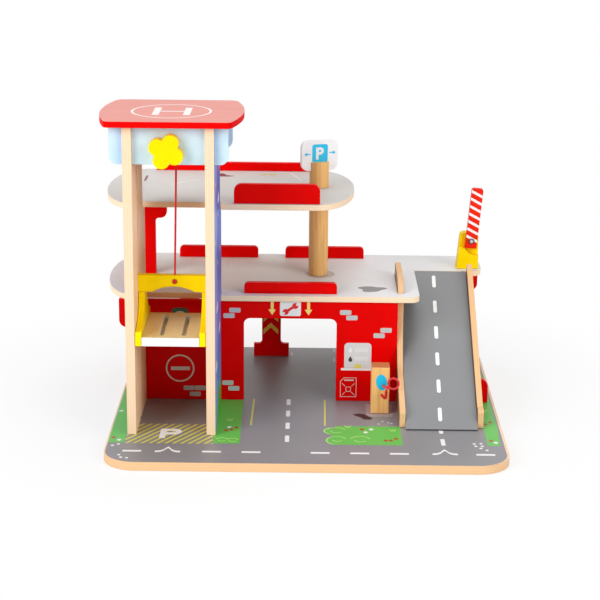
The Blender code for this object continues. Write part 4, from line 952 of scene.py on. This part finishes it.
def print_bay():
    """The hatched bay in front of the lift, with its P."""
    slant = (BAY_BACK - BAY_FRONT) / math.tan(BAY_ANGLE)
    start = BAY_LEFT - math.ceil(slant / BAY_PITCH) * BAY_PITCH
    stripes = []
    while start < BAY_RIGHT:
        end = start + BAY_STRIPE
        corners = [(start, BAY_FRONT), (end, BAY_FRONT), (end + slant, BAY_BACK), (start + slant, BAY_BACK)]
        stripe = clip(corners, BAY_LEFT, BAY_RIGHT)
        if len(stripe) > 2:
            stripes.append(stripe)
        start += BAY_PITCH
    stamp("bay_hatch", stripes, INK_YELLOW, BASE_PLANE)
    stamp("bay_letter", letter_p((-0.1378, -0.1052), 0.0218, 0.0268, 0.006), INK_WHITE, BASE_PLANE, 2)


GREEN_FRONT_Y = -0.1313

# Each line and each end of a bush is an X, a Y and a radius
BUSH_LINES = ((0.03, -0.092, 0.0095), (0.031, -0.117, 0.0085), (0.054, -0.117, 0.01),
              (-0.085, -0.1215, 0.006), (-0.0745, -0.1225, 0.006))
BUSH_ENDS = ((0.0269, -0.0926, 0.0092), (0.0315, -0.1196, 0.0117))
TUFTS = ((0.042, -0.0828), (0.088, -0.092), (-0.08, -0.0665), (0.187, -0.03))
TUFT_SIZE = 0.006

# Places of small prints
RED_FLOWERS = ((0.0563, -0.0874), (0.0794, -0.1187), (0.0845, -0.118), (0.09, -0.1132),
               (-0.0823, -0.0945), (-0.077, -0.0918), (-0.0721, -0.0863), (-0.1944, -0.118),
               (0.1845, -0.068), (0.19, -0.062), (0.1856, -0.1156))
WHITE_FLOWERS = ((0.06, -0.0957), (0.0658, -0.087), (-0.0795, -0.085), (-0.1881, -0.1245),
                 (0.1897, -0.1208), (-0.195, -0.04))
GRAVEL = ((-0.1929, -0.14), (-0.1874, -0.1361), (-0.1838, -0.165), (-0.1813, -0.1716),
          (-0.1754, -0.1729), (0.1677, -0.1248), (0.1688, -0.1311), (0.1745, -0.1239),
          (0.1752, -0.1309), (0.1733, -0.1368), (0.1789, -0.1422))
FINE_GRAVEL = ((0.0742, -0.0708), (0.0782, -0.0628), (0.0841, -0.0668), (0.0874, -0.0688))


def grass_tuft(x, y):
    """Three blades."""
    blades = []
    for lean in (-0.55, 0.0, 0.55):
        tip = (x + lean * TUFT_SIZE, y + TUFT_SIZE)
        blades.append(stroke([(x + lean * TUFT_SIZE * 0.4, y), tip], TUFT_SIZE * 0.16))
    return blades


def bush_outline(x, y, width, height):
    """A bush with a scalloped left end and a square right end."""
    points = [(x + width, y), (x + width, y + height), (x + 0.012, y + height)]
    for lump_x, share, radius in ((0.012, 0.93, 0.0065), (0.0004, 0.73, 0.01), (0.0025, 0.22, 0.0125)):
        points += arc((x + lump_x + radius, y + share * height), radius, 115, 245, 6)
    points.append((x + 0.014, y))
    return points


def print_greens():
    greens = [
        [(PRINT_LEFT, GREEN_FRONT_Y), (-0.1822, GREEN_FRONT_Y), (-0.1822, 0.039), (PRINT_LEFT, 0.039)],
        [(-0.094, GREEN_FRONT_Y), (-0.067, GREEN_FRONT_Y), (-0.0683, -0.0014), (-0.094, -0.0014)],
        bush_outline(0.0165, GREEN_FRONT_Y, 0.0793, 0.053),
        [(0.1812, -0.1297), (0.1915, -0.1297), (0.1933, -0.128), (0.1957, -0.08), (0.1955, 0.14),
         (0.1822, 0.14)],
    ]
    stamp("grass", greens, INK_GREEN, BASE_PLANE)
    leaves = []
    for x, y, radius in BUSH_LINES:
        leaves.append(stroke(arc((x, y), radius, 20, 160, 10), 0.0011))
        leaves.append(stroke(arc((x, y), radius * 0.6, 190, 330, 8), 0.0011))
    for x, y, radius in BUSH_ENDS:
        leaves.append(stroke(arc((x, y), radius, 115, 245, 10), 0.0013))
    for place in TUFTS:
        leaves += grass_tuft(*place)
    stamp("leaf_lines", leaves, INK_LEAF, BASE_PLANE, 2)
    stamp("red_flowers", [flower(place) for place in RED_FLOWERS], INK_FLOWER, BASE_PLANE, 2)
    stamp("white_flowers", [flower(place) for place in WHITE_FLOWERS], INK_WHITE, BASE_PLANE, 2)
    gravel = [pill(place, 0.003, 0.0034, 0.0009) for place in GRAVEL]
    gravel += [pill(place, 0.0024, 0.0016, 0.0005) for place in FINE_GRAVEL]
    stamp("gravel", gravel, INK_WHITE, BASE_PLANE)


OIL_SPOT = ((0.048, -0.0428), (0.0537, -0.0397), (0.0593, -0.0412), (0.0626, -0.046), (0.0691, -0.053),
            (0.0656, -0.0584), (0.0588, -0.0576), (0.0556, -0.0512), (0.0501, -0.0465))
HALL_MARKS = ((-0.0184, 0.154), (0.031, 0.168), (0.0306, 0.133))


def print_forecourt():
    stamp("pump_island", [pill((0.076, -0.03), 0.0275, 0.0385, 0.001)], INK_ISLAND, BASE_PLANE)
    stamp("oil_spot", [OIL_SPOT], INK_DARK, BASE_PLANE)
    marks = [stroke([(x, y), (x, y + 0.012)], 0.0028) for x, y in HALL_MARKS]
    stamp("hall_marks", marks, INK_HALL, BASE_PLANE)


print_road()
print_bay()
print_greens()
print_forecourt()


# Prints on the upright boards

WALL_PLANE = on_front(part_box("front_wall")[0].y)
BRICKS = ((-0.0774, 0.1092), (-0.0836, 0.1031), (0.0396, 0.1079), (0.0463, 0.1021), (0.0827, 0.0887),
          (0.0755, 0.0827), (-0.085, 0.0282), (-0.0788, 0.0219), (-0.1266, 0.0219), (-0.1145, 0.022),
          (-0.1201, 0.0151))
BRICK_WIDTH = 0.012
BRICK_HEIGHT = 0.0052
WRENCH_GRIP = 0.0015
WRENCH_JAW = 0.0033
DOOR_ARROWS = (-0.038, 0.0004)
GO_PLACE = (-0.1356, 0.1)


def wrench(centre, length, angle):
    """A double-ended spanner."""
    points = []
    for end in (1, -1):
        middle = (centre[0] + end * (length / 2 - WRENCH_JAW), centre[1])
        notch = middle[0] + WRENCH_JAW * 0.35
        neck = middle[0] - WRENCH_JAW * 0.9
        side = [(neck, centre[1] - WRENCH_GRIP)] + arc(middle, WRENCH_JAW, -155, -22, 7)[1:]
        side += [(notch, centre[1] - 0.0008), (notch, centre[1] + 0.0008)]
        side += arc(middle, WRENCH_JAW, 22, 155, 7)[:-1] + [(neck, centre[1] + WRENCH_GRIP)]
        if end == -1:
            side = [(2 * middle[0] - x, y) for x, y in side][::-1]
        points += side
    return turned(points, centre, angle)


def print_wall():
    bricks = [pill(place, BRICK_WIDTH, BRICK_HEIGHT, 0.0013) for place in BRICKS]
    stamp("bricks", bricks, INK_BRICK, WALL_PLANE)
    stamp("service_sign", [pill((-0.0187, 0.1114), 0.0221, 0.016, 0.0018)], INK_WHITE, WALL_PLANE)
    stamp("service_sign_wrench", [wrench((-0.0187, 0.1112), 0.0188, 33)], RED, WALL_PLANE, 2)
    arrows = [arrow((x, 0.1043), 0.0148, 0.0062, 0.0078, 0.0031, -90) for x in DOOR_ARROWS]
    stamp("door_arrows", arrows, INK_ARROW, WALL_PLANE)
    bar = pill((-0.1356, 0.0438), 0.0205, 0.0042, 0.0006)
    stamp("no_entry", ring((-0.136, 0.044), 0.0154, 0.0018) + [bar], INK_NO_ENTRY, WALL_PLANE)
    panel = [pill(GO_PLACE, 0.0186, 0.0224, 0.005), circle(GO_PLACE, 0.0078)]
    stamp("go_panel", panel, INK_DARK_GREEN, WALL_PLANE)
    stamp("go_disc", [circle(GO_PLACE, 0.0076)], INK_GO_DISC, WALL_PLANE)


def print_price_board():
    corners = [(0.0389, 0.0464), (0.0677, 0.0464)] + arc((0.0637, 0.0704), 0.004, 0, 90, 6)
    corners += arc((0.0429, 0.0704), 0.004, 90, 180, 6)
    stamp("price_board", [corners], INK_PANEL, WALL_PLANE)
    marks = [pill((0.0522, 0.0449), 0.0332, 0.0026, 0.0006), drop((0.0453, 0.0655), 0.002)]
    for row_z in (0.0662, 0.057):
        for column in range(4):
            place = (0.0515 + 0.0035 * column, row_z)
            marks += [pill(place, 0.0024, 0.0042, 0.0008)[::-1], pill(place, 0.0012, 0.0028, 0.0004)]
    stamp("price_marks", marks, INK_WHITE, WALL_PLANE, 2)
    stamp("oil_drop", [drop((0.0455, 0.0553), 0.0021)], INK_DARK, WALL_PLANE, 2)
    stamp("yellow_shell", [arc((0.0535, 0.0466), 0.0044, 0, 180, 12)], INK_SHELL, WALL_PLANE, 2)


CAN_LEFT = 0.035
CAN_RIGHT = 0.0525
CAN_LOW = 0.0136
CAN_HIGH = 0.0356
CAN_LINE = 0.0007
CAN_CUT = 0.0042
CAN_STROKE_START = 0.0034
CAN_STROKE_END = 0.0066


def print_canister():
    """The outline of a fuel can: a box with a cut corner, a handle and a crossed front."""
    left, right = CAN_LEFT + CAN_LINE, CAN_RIGHT - CAN_LINE
    low, high = CAN_LOW + CAN_LINE, CAN_HIGH - CAN_LINE
    half = CAN_LINE / 2
    middle = ((CAN_LEFT + CAN_RIGHT) / 2, CAN_LOW + 0.0088)
    shapes = [[(CAN_LEFT, CAN_LOW), (CAN_RIGHT, CAN_LOW), (CAN_RIGHT, CAN_HIGH),
               (CAN_LEFT + CAN_CUT, CAN_HIGH), (CAN_LEFT, CAN_HIGH - CAN_CUT)],
              [(left, low), (right, low), (right, high), (left + CAN_CUT - half, high),
               (left, high - CAN_CUT + half)]]
    for across in (-1, 1):
        for up in (-1, 1):
            ends = [(middle[0] + across * reach, middle[1] + up * reach)
                    for reach in (CAN_STROKE_START, CAN_STROKE_END)]
            shapes.append(stroke(ends, CAN_LINE))
    shapes += [pill(middle, 0.0056, 0.0056, 0.0003), pill(middle, 0.0042, 0.0042, 0.0003),
               pill((middle[0] + 0.0008, CAN_HIGH - 0.003), 0.0102, 0.0016, 0.0003)]
    stamp("fuel_can", shapes, INK_CAN, WALL_PLANE)


CHEVRON_X = -0.0428
CHEVRON_HALF = 0.0085
CHEVRON_RISE = 0.008
CHEVRON_WIDTH = 0.006
CHEVRON_FEET = (0.0355, 0.0502)


def print_chevrons():
    left, right = CHEVRON_X - CHEVRON_HALF, CHEVRON_X + CHEVRON_HALF
    shapes = []
    for foot in CHEVRON_FEET:
        tip = foot + CHEVRON_RISE
        shapes.append([(left, foot), (CHEVRON_X, tip), (right, foot), (right, foot + CHEVRON_WIDTH),
                       (CHEVRON_X, tip + CHEVRON_WIDTH), (left, foot + CHEVRON_WIDTH)])
    stamp("trestle_chevrons", shapes, INK_CHEVRON, on_front(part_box("back_trestle")[0].y))


STARS = ((-0.085, 0.262), (-0.05, 0.225), (-0.03, 0.268), (-0.092, 0.205), (-0.018, 0.182),
         (-0.062, 0.178))
CLOUDS = ((-0.07, 0.128), (-0.03, 0.095), (-0.085, 0.07), (-0.04, 0.235))


def print_tower_sky():
    """Stars and clouds on the outer faces of the tower."""
    stars = [star(place) for place in STARS]
    clouds = [cloud(place) for place in CLOUDS]
    for side, edge, outward in (("right", 1, 1), ("left", 0, -1)):
        plane = on_side(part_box(f"tower_side_{side}")[edge].x, outward)
        for name, shapes, tint in (("stars", stars, INK_STAR), ("clouds", clouds, INK_CLOUD)):
            placed = [[(outward * u, v) for u, v in shape] for shape in shapes]
            stamp(f"tower_{side}_{name}", placed, tint, plane)


print_wall()
print_price_board()
print_canister()
print_chevrons()
print_tower_sky()


# Prints on the decks, the roof and the ramp

LOWER_BAY_LINES = (((-0.0905, 0.1466), (-0.0918, 0.1128)), ((-0.1313, 0.1468), (-0.133, 0.1115)))
UPPER_BAY_LINE = ((-0.07, 0.1584), (-0.026, 0.1584), (-0.0215, 0.155), (-0.018, 0.145),
                  (-0.0088, 0.1169))
UPPER_CURVE = ((-0.1501, 0.0892), (-0.1375, 0.1037), (-0.129, 0.1115), (-0.1207, 0.1163))
UPPER_SPOT = ((-0.103, 0.1505), (-0.0964, 0.1497), (-0.093, 0.1412), (-0.0828, 0.1369),
              (-0.09, 0.134), (-0.103, 0.1336))


def print_decks():
    lower = on_top(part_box("deck_lower")[1].z)
    stamp("lower_bays", [stroke(line, 0.0018) for line in LOWER_BAY_LINES], INK_LOWER_BAYS, lower)
    stamp("lower_puddle", [blob((0.0675, 0.0275), 0.0272, 0.0215)], INK_PUDDLE, lower)
    # A darker disc on the lower deck around the foot of the pole
    stamp("pole_spot", [ellipse((0.0125, 0.0866), 0.033, 0.033, 36)], POLE_FOOT_DARK, lower)
    upper = on_top(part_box("deck_upper")[1].z)
    stamp("upper_bays", [stroke(UPPER_BAY_LINE, 0.0022), stroke(UPPER_CURVE, 0.002)], INK_UPPER_BAYS, upper)
    stamp("upper_puddle", [UPPER_SPOT, ellipse((-0.181, 0.12), 0.0028, 0.033, 20)], INK_WINE, upper)
    marks = [blob((-0.052, 0.145), 0.0075, 0.006), blob((-0.0416, 0.1463), 0.009, 0.006)]
    stamp("upper_marks", marks, INK_OCHRE, upper)


def print_roof():
    letter = letter_h((-0.1365, -0.0545), 0.0375, 0.043, 0.0068, 0.0038)
    stamp("helipad_marks", ring((-0.1374, -0.0537), 0.0402, 0.0023) + letter, INK_ROOF,
          on_top(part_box("helipad_roof")[1].z))


RAMP_DASHES = (0.0905, 0.0581, 0.0257, -0.0067, -0.0391, -0.0717)
RAMP_DASH_X = 0.1387
RAMP_DASH_DRIFT = 0.0018
RAMP_FOOT_EDGE = 0.0013
RAMP_DASH_LENGTH = 0.0181
RAMP_DASH_WIDTH = 0.004


def print_ramp():
    """The dashes on the slope, which drift a little to the left towards its foot."""
    low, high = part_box("ramp_deck")
    foot_z = low.z + RAMP_FOOT_EDGE
    slope = math.atan2(high.z - foot_z, high.y - low.y)
    plane = Matrix.Translation((CENTRE_X, low.y, foot_z)) @ Matrix.Rotation(slope, 4, "X")
    shapes = []
    for index, y in enumerate(RAMP_DASHES):
        x = RAMP_DASH_X - RAMP_DASH_DRIFT * index / (len(RAMP_DASHES) - 1)
        along = (y - low.y) / math.cos(slope)
        shapes.append(pill((x, along), RAMP_DASH_WIDTH, RAMP_DASH_LENGTH, 0.0019))
    stamp("ramp_dashes", shapes, INK_WHITE, plane)


print_decks()
print_roof()
print_ramp()


# Prints on the sign, the barrier and the pump

SIGN_TURN = math.radians(17.0)
SIGN_THICKNESS = 0.005
POLE_X = 0.01035
POLE_Y = 0.0866


def print_sign():
    middle = from_middle((POLE_X, POLE_Y, 0))
    shapes = [pill((-0.0002, 0.2616), 0.0176, 0.0198, 0.0026),
              arrow((-0.0181, 0.2608), 0.0074, 0.0036, 0.0044, 0.0012, 180),
              arrow((0.0177, 0.262), 0.0074, 0.0036, 0.0044, 0.0012, 0)]
    letter = letter_p((-0.0003, 0.2615), 0.0088, 0.0134, 0.0029)
    for side, turn in (("front", 0.0), ("back", math.pi)):
        face = Matrix.Translation((0, 0, SIGN_THICKNESS / 2))
        plane = Matrix.Translation(middle) @ upright(SIGN_TURN + turn) @ face
        stamp(f"sign_{side}_blue", shapes, INK_BLUE, plane)
        stamp(f"sign_{side}_letter", letter, INK_WHITE, plane, 2)


ARM_LEAN = math.radians(4.7)
ARM_HALF = 0.0063
STRIPE_FIRST = 0.0069
STRIPE_PITCH = 0.0085
STRIPE_COUNT = 7
STRIPE_WIDTH = 0.003
STRIPE_FALL = 0.0055


def print_barrier():
    joint = next(joint for joint in frame["joints"] if joint["name"] == "barrier_tilt")
    low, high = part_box("barrier_arm")
    for side, y, turn, flip in (("front", low.y, 0.0, 1), ("back", high.y, math.pi, -1)):
        plane = (Matrix.Translation((joint["pos_m"][0], y, joint["pos_m"][2]))
                 @ Matrix.Rotation(ARM_LEAN, 4, "Y") @ upright(turn))
        stripes = []
        for index in range(STRIPE_COUNT):
            top = STRIPE_FIRST + STRIPE_PITCH * index
            end = top - STRIPE_FALL
            shape = [(-ARM_HALF, top), (ARM_HALF, end), (ARM_HALF, end - STRIPE_WIDTH),
                     (-ARM_HALF, top - STRIPE_WIDTH)]
            stripes.append([(flip * u, v) for u, v in shape])
        stamp(f"barrier_{side}_stripes", stripes, INK_WHITE, plane, body="barrier")


def print_screw():
    low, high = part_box("barrier_screw")
    centre = ((low.x + high.x) / 2 - CENTRE_X, (low.z + high.z) / 2)
    plane = on_front(low.y)
    # The screw's dark steel, left showing as a rim around this lighter disc, is a painted shade of the
    # countersink
    stamp("screw_middle", [circle(centre, 0.0017)], SCREW_MIDDLE, plane)
    stamp("screw_cross", [pill(centre, 0.0032, 0.0008, 0.0002)], SCREW_CROSS, plane, 2)
    stamp("screw_cross_upright", [pill(centre, 0.0008, 0.0032, 0.0002)], SCREW_CROSS, plane, 2)


PUMP_OVAL = (0.0775, 0.044)
PUMP_HOLE = (0.0794, 0.0405)


def print_pump():
    oval = turned(ellipse(PUMP_OVAL, 0.0116, 0.0174), PUMP_OVAL, 8)
    plane = on_front(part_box("fuel_pump")[0].y)
    stamp("pump_oval", [oval, circle(PUMP_HOLE, 0.0014, 20)], INK_BLUE, plane)


print_sign()
print_barrier()
print_screw()
print_pump()


# Studio

LAMP_AIM = (0, 0, 0.12)
LAMPS = (("key", (-1.6, -1.5, 1.1), 1.7, 41.5),
         ("fill", (1.6, -1.5, 1.1), 1.7, 28.5),
         ("top", (0.1, 0.3, 2.0), 1.6, 16.5))
WORLD_LIGHT = 0.28
FLOOR_HALF = 6.0
FLOOR_GAP = 0.0002


def floor():
    mesh = bpy.data.meshes.new("studio_floor")
    shape = bmesh.new()
    bmesh.ops.create_grid(shape, x_segments=8, y_segments=8, size=FLOOR_HALF)
    shape.to_mesh(mesh)
    shape.free()
    ground = put("studio_floor", mesh)
    ground.location.z = BASE_LOW.z - FLOOR_GAP
    g = Graph("studio_white")
    g.shader.inputs["Base Color"].default_value = (0.86, 0.86, 0.86, 1)
    g.shader.inputs["Roughness"].default_value = 0.9
    output = g.tree.nodes["Material Output"]
    glow = g.add("ShaderNodeEmission", {"Color": (1, 1, 1, 1), "Strength": 1.0})
    path = g.add("ShaderNodeLightPath").outputs
    seen = g.math("MAXIMUM", path["Is Camera Ray"], path["Is Glossy Ray"])
    away = g.add("ShaderNodeVectorMath", {0: g.place()[0]}, operation="LENGTH").outputs["Value"]
    share = g.plus(0.70, g.times(g.spread(away, 0.2, 0.5), 0.30))
    parts = {0: g.times(seen, share), 1: g.shader.outputs[0], 2: glow.outputs[0]}
    mix = g.add("ShaderNodeMixShader", parts)
    g.tree.links.new(mix.outputs[0], output.inputs["Surface"])
    mesh.materials.append(g.material)


def area_light(name, place, size, power):
    data = bpy.data.lights.new(name, "AREA")
    data.shape = "DISK"
    data.size = size
    data.energy = power
    lamp = put(name, data)
    lamp.location = place
    lamp.rotation_euler = (Vector(LAMP_AIM) - Vector(place)).to_track_quat("-Z", "Y").to_euler()


def studio():
    floor()
    for lamp in LAMPS:
        area_light(*lamp)
    world = bpy.data.worlds.new("studio_world")
    world.use_nodes = True
    tree = world.node_tree
    background = tree.nodes["Background"]
    background.inputs["Color"].default_value = (1, 1, 1, 1)
    path = tree.nodes.new("ShaderNodeLightPath")
    seen = tree.nodes.new("ShaderNodeMath")
    seen.operation = "MAXIMUM"
    tree.links.new(path.outputs["Is Camera Ray"], seen.inputs[0])
    tree.links.new(path.outputs["Is Glossy Ray"], seen.inputs[1])
    strength = tree.nodes.new("ShaderNodeMapRange")
    strength.inputs["To Min"].default_value = WORLD_LIGHT
    strength.inputs["To Max"].default_value = 1.0
    tree.links.new(seen.outputs[0], strength.inputs["Value"])
    tree.links.new(strength.outputs["Result"], background.inputs["Strength"])
    bpy.context.scene.world = world
    bpy.context.scene.view_settings.view_transform = "Standard"


studio()
